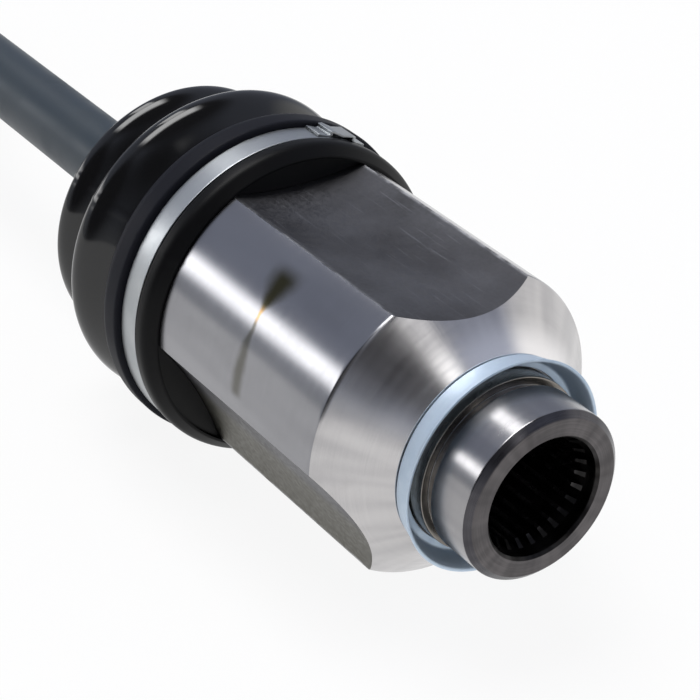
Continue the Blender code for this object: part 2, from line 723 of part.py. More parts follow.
def groove_tube(number, angle):
    """A tube bent round the joint's centre, which cuts one ball's groove in both races."""
    name = f"ball_groove_{number}"
    bm = bmesh.new()
    start = Matrix.Rotation(math.radians(GROOVE_START), 4, "Y") @ Matrix.Translation((0, 0, BALL_CIRCLE))
    stand = start @ Matrix.Rotation(math.pi / 2, 4, "Y")
    bmesh.ops.create_circle(bm, cap_ends=True, segments=GROOVE_SIDES, radius=groove_radius, matrix=stand)
    bmesh.ops.spin(
        bm,
        geom=bm.verts[:] + bm.edges[:] + bm.faces[:],
        cent=(0, 0, 0),
        axis=(0, 1, 0),
        angle=math.radians(GROOVE_END - GROOVE_START),
        steps=GROOVE_STEPS,
    )
    tube = add_piece(name, finished_mesh(name, bm), ball_joint)
    tube.rotation_euler.x = math.radians(angle)
    return tube


def spherical_ring(inner_radius, outer_radius, width, outer_points, inner_points):
    """The section of a ring between two spheres, or with a plain bore where inner_points is 0."""
    edge = math.degrees(math.asin(width / 2 / outer_radius))
    outside = arc(outer_radius, 90 - edge, 90 + edge, outer_points)
    if not inner_points:
        return outside + [(-width / 2, inner_radius), (width / 2, inner_radius)]
    edge = math.degrees(math.asin(width / 2 / inner_radius))
    return outside + arc(inner_radius, 90 + edge, 90 - edge, inner_points)


def make_bell(grooves):
    body_radius = bell_seat_radius + BELL_BODY_STEP
    dome = []
    for i in range(1, SPHERE_POINTS):
        angle = math.pi / 2 * i / SPHERE_POINTS
        x = bell_body_end + BELL_DOME_LENGTH * math.sin(angle)
        dome.append((-x, BELL_FLANGE_RADIUS + (body_radius - BELL_FLANGE_RADIUS) * math.cos(angle)))
    open_angle = math.degrees(math.acos(BELL_SPHERE_OPENING / bell_sphere))
    cavity = arc(bell_sphere, 180, open_angle, 2 * SPHERE_POINTS)
    cavity[0] = (-bell_sphere, 0.0)
    profile = cavity + [
        (BELL_MOUTH_REACH, bell_seat_radius - BELL_MOUTH_WALL),
        (BELL_MOUTH_REACH, bell_seat_radius - BELL_MOUTH_CHAMFER),
        (BELL_MOUTH_REACH - BELL_MOUTH_CHAMFER, bell_seat_radius),
        (-bell_seat_end, bell_seat_radius),
        (-bell_seat_end, body_radius),
        (-bell_body_end, body_radius),
        *dome,
        (-bell_dome_end, BELL_FLANGE_RADIUS),
        (-hub_face, BELL_FLANGE_RADIUS),
        (-hub_face, JOURNAL_RADIUS),
        (-journal_end, JOURNAL_RADIUS),
        (-journal_end, WHEEL_SPLINE_RADIUS),
        (-wheel_spline_end, WHEEL_SPLINE_RADIUS),
        (-wheel_spline_end, THREAD_RADIUS),
        (-thread_end + THREAD_CHAMFER, THREAD_RADIUS),
        (-thread_end, THREAD_RADIUS - THREAD_CHAMFER),
        (-thread_end, 0.0),
    ]
    bell = turned("outboard_bell", profile, CUFF_STEPS, ball_joint, STEEL, closed=False)
    tip = WHEEL_SPLINE_RADIUS + WHEEL_TOOTH_HEIGHT
    teeth = toothed(WHEEL_SPLINE_RADIUS - WHEEL_TOOTH_HEIGHT, tip, WHEEL_TEETH)
    start, end = -wheel_spline_end + WHEEL_SPLINE_RUNOUT, -journal_end - WHEEL_SPLINE_RUNOUT
    combine(bell, prism("wheel_spline", teeth, start, end, ball_joint), "UNION")
    for groove in grooves:
        combine(bell, groove, "DIFFERENCE")


def make_ball_joint():
    angles = mark_angles(0.0, BALL_COUNT)
    grooves = [groove_tube(number, angle) for number, angle in enumerate(angles, 1)]
    make_bell(grooves)
    section = spherical_ring(hub_bore, race_radius, RACE_WIDTH, SPHERE_POINTS, 0)
    race = turned("inner_race", section, RACE_STEPS, ball_joint, STEEL)
    for groove in grooves:
        combine(race, groove, "DIFFERENCE")
    section = spherical_ring(cage_inner, cage_outer, CAGE_WIDTH, SPHERE_POINTS, SPHERE_POINTS)
    cage = turned("ball_cage", section, RACE_STEPS, ball_joint, STEEL)
    window_radius = BALL_RADIUS + SEAT_GAP
    window = [
        (cage_outer + BALL_RADIUS, 0.0),
        (cage_outer + BALL_RADIUS, window_radius),
        (cage_inner - BALL_RADIUS, window_radius),
        (cage_inner - BALL_RADIUS, 0.0),
    ]
    for number, angle in enumerate(angles, 1):
        axis = add_empty(f"ball_axis_{number}", ball_joint, turn=angle + 90)
        hole = turned(f"cage_window_{number}", window, SMALL_STEPS, axis, closed=False)
        hole.rotation_euler.z = math.pi / 2
        combine(cage, hole, "DIFFERENCE")
        bm = bmesh.new()
        bmesh.ops.create_uvsphere(bm, u_segments=BALL_SEGMENTS, v_segments=BALL_RINGS, radius=BALL_RADIUS)
        ball = add_piece(f"ball_{number}", finished_mesh(f"ball_{number}", bm), axis, GROUND_STEEL)
        ball.location = (0.0, BALL_CIRCLE, 0.0)
    root = BAR_SPLINE_RADIUS - RING_GROOVE_DEPTH
    ring_x = -RACE_WIDTH / 2 - 2 * SEAT_GAP - RING_WIDTH
    make_ring("race_ring", ball_joint, ring_x, root, RING_HEIGHT, RING_WIDTH, RING_OPENING)


make_housing()
make_dust_shield()
make_grease_cap()
make_bush()
make_boots()
make_bar()
make_tripod()
make_ball_joint()
print(f"cv axle {overall_length / MM:.1f} mm long, tripod centre at x {tripod_x / MM:.2f} mm,",
      f"ball joint centre at x {ball_joint_x / MM:.2f} mm")
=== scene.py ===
# %% [markdown]
# # Dressing a CV axle
# The axle arrives as faceted solids that already have their real sizes, places and joints. This
# lesson keeps that frame and builds the surfaces that the eye reads: ground and turned steel, zinc,
# folded rubber and satin paint. Each cell makes one piece or one finish.

# %% Load the frame
import json
import math

import bmesh
import bpy
from mathutils import Matrix, Quaternion, Vector

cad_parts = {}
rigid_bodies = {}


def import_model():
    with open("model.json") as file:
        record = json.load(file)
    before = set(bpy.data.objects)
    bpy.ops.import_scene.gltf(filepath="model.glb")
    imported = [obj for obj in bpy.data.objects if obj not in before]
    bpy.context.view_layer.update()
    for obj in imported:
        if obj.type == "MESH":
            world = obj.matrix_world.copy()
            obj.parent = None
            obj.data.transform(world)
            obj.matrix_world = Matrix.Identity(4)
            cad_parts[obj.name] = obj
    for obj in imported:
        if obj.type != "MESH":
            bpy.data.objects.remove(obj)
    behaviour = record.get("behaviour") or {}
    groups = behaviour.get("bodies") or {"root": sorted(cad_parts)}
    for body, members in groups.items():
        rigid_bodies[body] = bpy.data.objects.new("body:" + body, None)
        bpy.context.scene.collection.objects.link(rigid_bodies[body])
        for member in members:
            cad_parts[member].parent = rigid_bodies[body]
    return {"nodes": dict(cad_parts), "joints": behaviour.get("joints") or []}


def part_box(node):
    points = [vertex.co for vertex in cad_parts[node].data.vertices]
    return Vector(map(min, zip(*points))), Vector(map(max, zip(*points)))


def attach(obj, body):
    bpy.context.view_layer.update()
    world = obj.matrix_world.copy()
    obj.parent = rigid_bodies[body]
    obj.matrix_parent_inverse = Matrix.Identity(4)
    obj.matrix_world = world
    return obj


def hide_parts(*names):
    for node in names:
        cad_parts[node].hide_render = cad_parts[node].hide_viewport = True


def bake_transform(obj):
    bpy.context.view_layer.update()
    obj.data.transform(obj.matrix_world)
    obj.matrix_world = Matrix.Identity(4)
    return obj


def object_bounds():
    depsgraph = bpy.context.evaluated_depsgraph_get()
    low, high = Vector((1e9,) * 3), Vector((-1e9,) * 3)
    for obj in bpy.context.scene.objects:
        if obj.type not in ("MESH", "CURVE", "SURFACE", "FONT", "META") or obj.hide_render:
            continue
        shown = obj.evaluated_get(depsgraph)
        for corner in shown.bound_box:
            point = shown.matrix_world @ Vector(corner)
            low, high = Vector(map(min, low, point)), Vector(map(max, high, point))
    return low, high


for leftover in list(bpy.data.objects):
    bpy.data.objects.remove(leftover, do_unlink=True)
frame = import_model()
cad_low, cad_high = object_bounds()
print("CAD box", [round(v, 4) for v in cad_low], [round(v, 4) for v in cad_high])

# %% [markdown]
# ## Stations along the axle
# Everything turns about the X axis. The end face of the splined stub, the two joint centres and the
# lips of the boots are read from the frame, so the fine pieces land on the solids that they dress.

# %% Read the main stations
MM = 0.001
joints = {joint["name"]: joint for joint in frame["joints"]}
face_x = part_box("inboard_housing")[1].x
mouth_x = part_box("inboard_housing")[0].x
lobe_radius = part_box("inboard_housing")[1].y
tripod_x = joints["inboard_bend"]["pos_m"][0]
ball_joint_x = joints["outboard_bend"]["pos_m"][0]
inboard_lip_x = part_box("inboard_boot")[1].x
outboard_lip_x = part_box("outboard_boot")[0].x
print(f"face {face_x:.4f}, tripod {tripod_x:.4f}, ball joint {ball_joint_x:.4f} m")

# %% [markdown]
# ## Camera
# The camera was solved from the coaxial circles of the stub, the lobes and the boot: a long lens,
# about 30 degrees above the axle, looking just beside the tripod's centre with a slight roll.

# %% Place the camera
CAMERA_AIM = Vector((tripod_x + 7.0 * MM, -2.5 * MM, 1.8 * MM))
CAMERA_AZIMUTH = 53.38
CAMERA_ELEVATION = 30.48
CAMERA_DISTANCE = 0.55
CAMERA_ROLL = 3.63
CAMERA_LENS = 115.4


def direction_from(azimuth, elevation):
    """Unit vector towards a viewer; azimuth 0 stands at -Y and 90 at +X, in degrees."""
    a, e = math.radians(azimuth), math.radians(elevation)
    return Vector((math.sin(a) * math.cos(e), -math.cos(a) * math.cos(e), math.sin(e)))


def make_camera():
    data = bpy.data.cameras.new("camera")
    data.sensor_width = 36.0
    data.lens = CAMERA_LENS
    data.clip_start = 0.01
    camera = bpy.data.objects.new("camera", data)
    bpy.context.scene.collection.objects.link(camera)
    back = direction_from(CAMERA_AZIMUTH, CAMERA_ELEVATION)
    camera.location = CAMERA_AIM + back * CAMERA_DISTANCE
    camera.rotation_mode = "QUATERNION"
    turn = Quaternion((0, 0, 1), math.radians(CAMERA_ROLL))
    camera.rotation_quaternion = (-back).to_track_quat("-Z", "Y") @ turn
    bpy.context.scene.camera = camera
    return camera


camera = make_camera()
print("camera at", [round(v, 4) for v in camera.location])

# %% [markdown]
# ## Node helpers
# Materials here are small networks. These helpers add a node, set its plain values and link sockets,
# so that each finish below reads as a recipe.

# %% Node helpers


def add_node(tree, kind, links=None, **values):
    """A node with its attributes set, and its inputs linked to sockets or set to plain values."""
    node = tree.nodes.new(kind)
    for name, value in values.items():
        setattr(node, name, value)
    for key, value in (links or {}).items():
        if isinstance(value, bpy.types.NodeSocket):
            tree.links.new(value, node.inputs[key])
        else:
            node.inputs[key].default_value = value
    return node


def calc(tree, operation, first, second=0.0):
    return add_node(tree, "ShaderNodeMath", {0: first, 1: second}, operation=operation).outputs[0]


def remap(tree, value, from_low, from_high, to_low=0.0, to_high=1.0):
    """A clamped, smooth map from one range to another."""
    sockets = {"Value": value, "From Min": from_low, "From Max": from_high}
    sockets.update({"To Min": to_low, "To Max": to_high})
    smooth = {"interpolation_type": "SMOOTHSTEP"}
    return add_node(tree, "ShaderNodeMapRange", sockets, **smooth).outputs["Result"]


def mix_colour(tree, factor, first, second):
    """A colour between two, by a factor; each may be a socket or three plain numbers."""
    node = add_node(tree, "ShaderNodeMix", data_type="RGBA")
    for key, value in (("Factor", factor), ("A", first), ("B", second)):
        socket = next(s for s in node.inputs if s.name == key and s.enabled)
        if isinstance(value, bpy.types.NodeSocket):
            tree.links.new(value, socket)
        elif key == "Factor":
            socket.default_value = value
        else:
            socket.default_value = (*value, 1.0)
    return next(s for s in node.outputs if s.enabled)


def new_group(name, inputs, outputs):
    """An empty shader group with float inputs (with defaults) and float outputs."""
    group = bpy.data.node_groups.new(name, "ShaderNodeTree")
    for socket, default in inputs.items():
        made = group.interface.new_socket(socket, in_out="INPUT", socket_type="NodeSocketFloat")
        made.default_value = default
    for socket in outputs:
        group.interface.new_socket(socket, in_out="OUTPUT", socket_type="NodeSocketFloat")
    return group, group.nodes.new("NodeGroupInput").outputs, group.nodes.new("NodeGroupOutput").inputs


def use_group(tree, group, **values):
    sockets = {name.capitalize(): value for name, value in values.items()}
    return add_node(tree, "ShaderNodeGroup", sockets, node_tree=group).outputs


# %% [markdown]
# ## Marks that many finishes share
# A lathe or a grinder leaves fine rings round the axis. The first group makes them from Object
# coordinates: the distance along the axis minus the radius changes across a cylinder, a cone and a
# flat end alike, so one recipe draws rings on all three. The second is a soft patchy mask for dust,
# oil and worn places.

# %% Shared groups
TINY = 1e-9
BAND_SHARE = 0.12
SHEEN_LINES = 25.0
SHEEN_TURN = 3.0
GRAIN_SHARE = 22.0


def times(tree, first, second):
    return calc(tree, "MULTIPLY", first, second)


def noise(tree, vector, scale, detail, **more):
    """The grey value of a noise texture."""
    sockets = {"Vector": vector, "Scale": scale, "Detail": detail, **more}
    return add_node(tree, "ShaderNodeTexNoise", sockets).outputs["Fac"]


def object_place(tree):
    return add_node(tree, "ShaderNodeTexCoord").outputs["Object"]


def object_axes(tree):
    return add_node(tree, "ShaderNodeSeparateXYZ", {0: object_place(tree)}).outputs


def combine(tree, x, y, z):
    return add_node(tree, "ShaderNodeCombineXYZ", {0: x, 1: y, 2: z}).outputs[0]


def make_turning_marks():
    inputs = {"Lines": 2500.0, "Drift": 2.0}
    group, given, out = new_group("turning_marks", inputs, ("Rings", "Bands", "Sheen"))
    axes = object_axes(group)
    squares = calc(group, "ADD", times(group, axes[1], axes[1]), times(group, axes[2], axes[2]))
    radius = calc(group, "SQRT", calc(group, "ADD", squares, TINY))
    station = calc(group, "SUBTRACT", axes[0], radius)
    cosine = times(group, calc(group, "DIVIDE", axes[1], radius), given["Drift"])
    sine = times(group, calc(group, "DIVIDE", axes[2], radius), given["Drift"])
    coarse_lines = times(group, given["Lines"], BAND_SHARE)
    fine = combine(group, times(group, station, given["Lines"]), cosine, sine)
    broad = combine(group, times(group, station, coarse_lines), cosine, sine)
    turned = (times(group, cosine, SHEEN_TURN), times(group, sine, SHEEN_TURN))
    spoke = combine(group, times(group, station, SHEEN_LINES), *turned)
    for socket, vector, detail in (("Rings", fine, 3.0), ("Bands", broad, 2.0), ("Sheen", spoke, 1.0)):
        group.links.new(noise(group, vector, 1.0, detail), out[socket])
    return group


def make_patches():
    inputs = {"Size": 60.0, "Low": 0.5, "High": 0.7}
    group, given, out = new_group("patches", inputs, ("Mask", "Grain"))
    place = object_place(group)
    cloud = noise(group, place, given["Size"], 6.0, Roughness=0.62)
    limits = {"Value": cloud, "From Min": given["Low"], "From Max": given["High"]}
    spread = add_node(group, "ShaderNodeMapRange", limits)
    group.links.new(spread.outputs["Result"], out["Mask"])
    fine = times(group, given["Size"], GRAIN_SHARE)
    group.links.new(noise(group, place, fine, 3.0), out["Grain"])
    return group


turning_marks = make_turning_marks()
patches = make_patches()
print("groups:", turning_marks.name, patches.name)

# %% [markdown]
# ## Steel finishes
# The housing has several: lobes ground bright, flats left as forged, a cone and stub straight from the
# lathe, and a dark oxide on the chamfer and the end face. The bore, its teeth, the cone and the flats
# also carry painted light and shade, noted where each is made. All are metals whose colour and
# roughness follow the marks, with a fine bump; the anisotropy is a constant on the shader.

# %% Steel recipes
GRIME = (0.05, 0.045, 0.04)
AXIS_X, AXIS_Y, AXIS_Z = range(3)
SCRATCH_SCALE = (55.0, 1300.0, 1300.0)


def blank_material(name, metallic=0.0, **constants):
    material = bpy.data.materials.new(name)
    material.use_nodes = True
    shader = material.node_tree.nodes["Principled BSDF"]
    shader.inputs["Metallic"].default_value = metallic
    for key, value in constants.items():
        shader.inputs[key.replace("_", " ").title().replace("Ior", "IOR")].default_value = value
    return material, material.node_tree, shader


def add_bump(tree, shader, height, strength, distance):
    sockets = {"Strength": strength, "Distance": distance, "Height": height}
    relief = add_node(tree, "ShaderNodeBump", sockets)
    tree.links.new(relief.outputs[0], shader.inputs["Normal"])


def turned_steel(
    name, light, dark, rough, lines=2500.0, bump=0.15, anisotropy=0.6, grime=0.35, rings=0.45
):
    """Bare steel with rings from a lathe or a grinder; rough runs from polished to dull rings."""
    brushed = {"Anisotropic": anisotropy, "Anisotropic_Rotation": 0.25}
    material, tree, shader = blank_material(name, metallic=1.0, **brushed)
    marks = use_group(tree, turning_marks, lines=lines)
    dirt = use_group(tree, patches, size=45.0, low=0.52, high=0.78)
    ring_tone = times(tree, marks["Rings"], rings)
    tone = calc(tree, "ADD", ring_tone, times(tree, marks["Sheen"], 1.0 - rings))
    base = mix_colour(tree, remap(tree, tone, 0.3, 0.7), dark, light)
    soiled = mix_colour(tree, times(tree, dirt["Mask"], grime), base, GRIME)
    tree.links.new(soiled, shader.inputs["Base Color"])
    spread = remap(tree, marks["Bands"], 0.3, 0.7, rough[0], rough[1])
    dulled = calc(tree, "ADD", spread, times(tree, dirt["Mask"], 0.05))
    tree.links.new(dulled, shader.inputs["Roughness"])
    add_bump(tree, shader, marks["Rings"], bump, 0.02 * MM)
    tangent = add_node(tree, "ShaderNodeTangent", direction_type="RADIAL", axis="X")
    tree.links.new(tangent.outputs[0], shader.inputs["Tangent"])
    return material


def forged_steel(name, light, dark, rough):
    """A forged or blasted skin: a fine tooth, slow changes of tone and faint scratches."""
    material, tree, shader = blank_material(name, metallic=1.0)
    cloud = use_group(tree, patches, size=38.0, low=0.36, high=0.66)
    tooth = use_group(tree, patches, size=160.0, low=0.4, high=0.6)
    drawn_out = {"Vector": object_place(tree), "Scale": SCRATCH_SCALE}
    stretched = add_node(tree, "ShaderNodeMapping", drawn_out).outputs[0]
    scratches = times(tree, remap(tree, noise(tree, stretched, 1.0, 2.0), 0.62, 0.74), 0.5)
    base = mix_colour(tree, cloud["Mask"], dark, light)
    brighter = tuple(1.7 * value for value in light)
    tree.links.new(mix_colour(tree, scratches, base, brighter), shader.inputs["Base Color"])
    tree.links.new(remap(tree, cloud["Grain"], 0.3, 0.7, rough[0], rough[1]), shader.inputs["Roughness"])
    add_bump(tree, shader, tooth["Grain"], 0.35, 0.03 * MM)
    return material


def base_colour(material):
    """The node tree, the socket for the base colour and what feeds it now."""
    tree = material.node_tree
    base = tree.nodes["Principled BSDF"].inputs["Base Color"]
    return tree, base, base.links[0].from_socket


def tint_zone(material, colour, *spans):
    """Another colour that fades in along spans of (axis, from, to) in Object coordinates."""
    tree, base, plain = base_colour(material)
    axes = object_axes(tree)
    share = 1.0
    for axis, start, end in spans:
        share = times(tree, share, remap(tree, axes[axis], start, end))
    tree.links.new(mix_colour(tree, share, plain, colour), base)


def add_edge_glint_and_wear(material, colour, start, end):
    """Broken bright lines where the surface nears a given radius: a painted highlight along the edge,
    and rubbed wear.
    """
    tree, base, plain = base_colour(material)
    axes = object_axes(tree)
    level = combine(tree, 0.0, axes[AXIS_Y], axes[AXIS_Z])
    radius = add_node(tree, "ShaderNodeVectorMath", {0: level}, operation="LENGTH").outputs["Value"]
    broken = use_group(tree, patches, size=180.0, low=0.35, high=0.6)["Mask"]
    share = times(tree, remap(tree, radius, start, end), broken)
    tree.links.new(mix_colour(tree, share, plain, colour), base)


# %% Heat mark
MARK_X = face_x - 68.1 * MM
MARK_HEAT = 22.7 * MM
MARK_TOP = 33.0 * MM
MARK_FOOT = 3.5 * MM
MARK_LEAN = 0.08
MARK_BROWN = (0.060, 0.055, 0.030)
MARK_RUST = (0.36, 0.22, 0.09)


def add_heat_mark(material):
    """A brown stain across one lobe: a wide soft head, a rust spot and a faint tail."""
    tree, base, clean = base_colour(material)
    axes = object_axes(tree)
    height = axes[AXIS_Z]
    below = calc(tree, "MAXIMUM", calc(tree, "SUBTRACT", MARK_HEAT, height), 0.0)
    middle = calc(tree, "ADD", times(tree, below, MARK_LEAN), MARK_X)
    cloud = noise(tree, object_place(tree), 330.0, 3.0)
    wander = times(tree, calc(tree, "SUBTRACT", cloud, 0.5), 1.2 * MM)
    shifted = calc(tree, "ADD", axes[AXIS_X], wander)
    aside = calc(tree, "ABSOLUTE", calc(tree, "SUBTRACT", shifted, middle))
    head = remap(tree, height, MARK_HEAT, MARK_TOP - 3.0 * MM, 1.1 * MM, 6.2 * MM)
    tail = remap(tree, below, 1.0 * MM, 12.0 * MM, -0.2 * MM, 1.6 * MM)
    soft = remap(tree, calc(tree, "DIVIDE", aside, calc(tree, "ADD", head, tail)), 1.15, 0.1)
    foot = remap(tree, height, MARK_FOOT - 1.0 * MM, MARK_FOOT + 1.5 * MM)
    top = remap(tree, height, MARK_TOP, MARK_TOP - 3.0 * MM)
    near_side = calc(tree, "LESS_THAN", axes[AXIS_Y], -20.0 * MM)
    mark = times(tree, times(tree, soft, near_side), times(tree, foot, top))
    depth = remap(tree, height, MARK_HEAT - 4.0 * MM, MARK_HEAT + 3.0 * MM, 0.62, 1.0)
    from_heat = calc(tree, "ABSOLUTE", calc(tree, "SUBTRACT", height, MARK_HEAT))
    rust = remap(tree, from_heat, 2.4 * MM, 0.2 * MM)
    tint = mix_colour(tree, rust, MARK_BROWN, MARK_RUST)
    tree.links.new(mix_colour(tree, times(tree, mark, depth), clean, tint), base)


# %% Steels
lobe_steel = turned_steel(
    "lobe_ground_steel", (0.31, 0.31, 0.325), (0.27, 0.27, 0.285), (0.17, 0.19),
    lines=5200.0, bump=0.008, anisotropy=0.35, grime=0.12, rings=0.2,
)
add_heat_mark(lobe_steel)
flat_steel = forged_steel(
    "flat_forged_steel", (0.125, 0.125, 0.134), (0.075, 0.074, 0.078), (0.45, 0.6)
)
# Painted light from the floor below, with an olive tint: the lower flats turn a lighter olive grey
# towards the bottom.
tint_zone(flat_steel, (0.122, 0.118, 0.102), (AXIS_Z, -12.0 * MM, -20.0 * MM))
# Painted highlight along the flats' edges, broken like rubbed wear.
add_edge_glint_and_wear(flat_steel, (0.42, 0.42, 0.43), lobe_radius - 0.7 * MM, lobe_radius - 0.1 * MM)
cone_steel = turned_steel(
    "cone_turned_steel", (0.57, 0.555, 0.555), (0.45, 0.44, 0.445), (0.2, 0.25),
    lines=4200.0, bump=0.02, anisotropy=0.5, grime=0.15, rings=0.22,
)
# Painted reflection: the cone is painted lighter next to the shield on its upper side, as if the
# shield's light showed in it.
painted_glow_span = (AXIS_X, face_x - 29.0 * MM, face_x - 22.0 * MM)
tint_zone(cone_steel, (0.86, 0.84, 0.84), painted_glow_span, (AXIS_Z, 8.0 * MM, 20.0 * MM))
stub_steel = turned_steel(
    "stub_ground_steel", (0.36, 0.355, 0.36), (0.29, 0.285, 0.295), (0.22, 0.25),
    lines=5200.0, bump=0.003, anisotropy=0.65, grime=0.12, rings=0.25,
)
shoulder_steel = turned_steel(
    "shoulder_tinted_steel", (0.30, 0.28, 0.255), (0.20, 0.185, 0.165), (0.22, 0.3),
    lines=3000.0, bump=0.03, anisotropy=0.4, grime=0.3,
)
chamfer_steel = turned_steel(
    "chamfer_turned_steel", (0.10, 0.097, 0.105), (0.06, 0.058, 0.065), (0.22, 0.32),
    bump=0.06, anisotropy=0.5, grime=0.0,
)
end_steel = turned_steel(
    "end_face_steel", (0.14, 0.13, 0.132), (0.085, 0.08, 0.082), (0.34, 0.48),
    lines=2600.0, bump=0.06, anisotropy=0.5,
)
# Painted shade: the bore and the cap at its bottom get a near-black colour for the shade inside the
# bore.
bore_shade_steel = turned_steel(
    "bore_painted_shade_steel", (0.045, 0.043, 0.043), (0.012, 0.011, 0.011), (0.28, 0.45), grime=0.5
)
# Painted light and shade on the teeth: lighter deep in the bore so that their lines show, near-black
# over the first ones behind the face.
teeth_steel = turned_steel(
    "bore_teeth_steel", (0.34, 0.33, 0.33), (0.12, 0.118, 0.118), (0.2, 0.34), grime=0.5
)
tint_zone(teeth_steel, (0.03, 0.029, 0.029), (AXIS_X, face_x - 9.0 * MM, face_x - 5.0 * MM))
inner_steel = turned_steel(
    "inner_hardened_steel", (0.45, 0.45, 0.46), (0.28, 0.28, 0.29), (0.2, 0.34)
)
spring_steel = forged_steel(
    "spring_blued_steel", (0.10, 0.10, 0.12), (0.05, 0.05, 0.06), (0.32, 0.45)
)
bell_steel = turned_steel(
    "bell_turned_steel", (0.36, 0.36, 0.37), (0.26, 0.26, 0.27), (0.26, 0.36),
    lines=2000.0, bump=0.08,
)
forged_bell = forged_steel(
    "bell_forged_steel", (0.16, 0.16, 0.165), (0.09, 0.09, 0.093), (0.4, 0.55)
)
print("steel finishes made")

# %% [markdown]
# ## Zinc, rubber and paint
# The shield and the clamps are thin zinc-plated strip: bluish, a little cloudy. The boots are moulded
# rubber with a wet gloss. The bar has a satin paint with a faint orange peel and rubbed places.

# %% Zinc, rubber and paint


def zinc_plate(name, light, dark, rough):
    material, tree, shader = blank_material(name, metallic=1.0)
    cloud = use_group(tree, patches, size=120.0, low=0.35, high=0.68)
    marks = use_group(tree, turning_marks, lines=3000.0, drift=4.0)
    tone = calc(tree, "ADD", times(tree, cloud["Mask"], 0.6), times(tree, marks["Rings"], 0.4))
    tree.links.new(mix_colour(tree, tone, dark, light), shader.inputs["Base Color"])
    spread = remap(tree, cloud["Mask"], 0.0, 1.0, rough[1], rough[0])
    tree.links.new(spread, shader.inputs["Roughness"])
    add_bump(tree, shader, cloud["Grain"], 0.02, 0.02 * MM)
    return material


def moulded_rubber(name, colour, dusty, rough, shine, coat=0.0):
    glossy = {"Specular_Ior_Level": shine, "Coat_Weight": coat, "Coat_Roughness": 0.07}
    material, tree, shader = blank_material(name, **glossy)
    film = use_group(tree, patches, size=38.0, low=0.45, high=0.8)
    skin = use_group(tree, patches, size=220.0, low=0.4, high=0.6)
    base = mix_colour(tree, times(tree, film["Mask"], 0.5), colour, dusty)
    tree.links.new(base, shader.inputs["Base Color"])
    spread = remap(tree, film["Mask"], 0.0, 1.0, rough[0], rough[1])
    tree.links.new(spread, shader.inputs["Roughness"])
    add_bump(tree, shader, skin["Grain"], 0.1, 0.02 * MM)
    return material


def satin_paint(name, colour, rubbed, rough):
    material, tree, shader = blank_material(name, Specular_Ior_Level=0.4)
    wear = use_group(tree, patches, size=55.0, low=0.48, high=0.75)
    peel = use_group(tree, patches, size=90.0, low=0.4, high=0.6)
    base = mix_colour(tree, times(tree, wear["Mask"], 0.5), colour, rubbed)
    tree.links.new(base, shader.inputs["Base Color"])
    spread = remap(tree, wear["Mask"], 0.0, 1.0, rough[0], rough[1])
    tree.links.new(spread, shader.inputs["Roughness"])
    add_bump(tree, shader, peel["Grain"], 0.2, 0.03 * MM)
    return material


shield_zinc = zinc_plate("shield_zinc", (0.68, 0.78, 0.88), (0.58, 0.69, 0.81), (0.6, 0.68))
clamp_zinc = zinc_plate("clamp_zinc", (0.44, 0.455, 0.465), (0.37, 0.39, 0.405), (0.34, 0.42))
boot_rubber = moulded_rubber(
    "boot_gloss_rubber", (0.0034, 0.0034, 0.0038), (0.0058, 0.0058, 0.0066), (0.09, 0.14),
    shine=0.4, coat=0.35,
)
collar_rubber = moulded_rubber(
    "collar_satin_rubber", (0.0085, 0.009, 0.0135), (0.012, 0.0125, 0.0175), (0.5, 0.6), shine=0.1
)
lip_rubber = moulded_rubber(
    "lip_satin_rubber", (0.0034, 0.0034, 0.0039), (0.005, 0.005, 0.0056), (0.38, 0.46), shine=0.12
)
bush_rubber = moulded_rubber(
    "bush_satin_rubber", (0.006, 0.006, 0.0065), (0.012, 0.012, 0.012), (0.4, 0.55), shine=0.25
)
bar_paint = satin_paint(
    "bar_satin_paint", (0.026, 0.039, 0.052), (0.037, 0.049, 0.061), (0.42, 0.55)
)
print("zinc, rubber and paint made")

# %% [markdown]
# ## Turned pieces
# Most pieces are a section swept round the axis with spin. A sharp section would catch no light along
# its edges, so each corner is first rounded by a small setback, with a guard point on either side that
# keeps the smooth shading from bleeding into the long straight runs.

# %% Section and spin helpers
ROUND_POINTS = 4
TURN_STEPS = 192
GUARD = 1.6


def rounded(corners, closed=True):
    """A line of (x, radius) from corners of (x, radius, setback), each made a short curve."""
    points = []
    count = len(corners)
    for i, (x, radius, setback) in enumerate(corners):
        here = Vector((x, radius))
        inner = closed or 0 < i < count - 1
        if not setback or not inner:
            points.append(here)
            continue
        sides = []
        for other in (corners[i - 1], corners[(i + 1) % count]):
            reach = Vector(other[:2]) - here
            sides.append((reach.normalized(), min(setback, 0.45 * reach.length), reach.length))
        (back, back_size, back_room), (ahead, ahead_size, ahead_room) = sides
        size = min(back_size, ahead_size)
        if GUARD * size < 0.49 * back_room:
            points.append(here + back * GUARD * size)
        for step in range(ROUND_POINTS + 1):
            t = step / ROUND_POINTS
            points.append(here + back * size * (1 - t) ** 2 + ahead * size * t**2)
        if GUARD * size < 0.49 * ahead_room:
            points.append(here + ahead * GUARD * size)
    return [(p.x, p.y) for p in points]


def spin_section(section, closed=True, steps=TURN_STEPS):
    """A bmesh swept round X from (x, radius) points, with its seam and poles closed."""
    bm = bmesh.new()
    verts = [bm.verts.new((x, 0.0, radius)) for x, radius in section]
    edges = [bm.edges.new(pair) for pair in zip(verts, verts[1:])]
    if closed:
        edges.append(bm.edges.new((verts[-1], verts[0])))
    whole = {"angle": math.tau, "steps": steps, "use_merge": True}
    bmesh.ops.spin(bm, geom=verts + edges, cent=(0, 0, 0), axis=(1, 0, 0), **whole)
    bmesh.ops.remove_doubles(bm, verts=bm.verts[:], dist=1e-6)
    bmesh.ops.recalc_face_normals(bm, faces=bm.faces[:])
    return bm


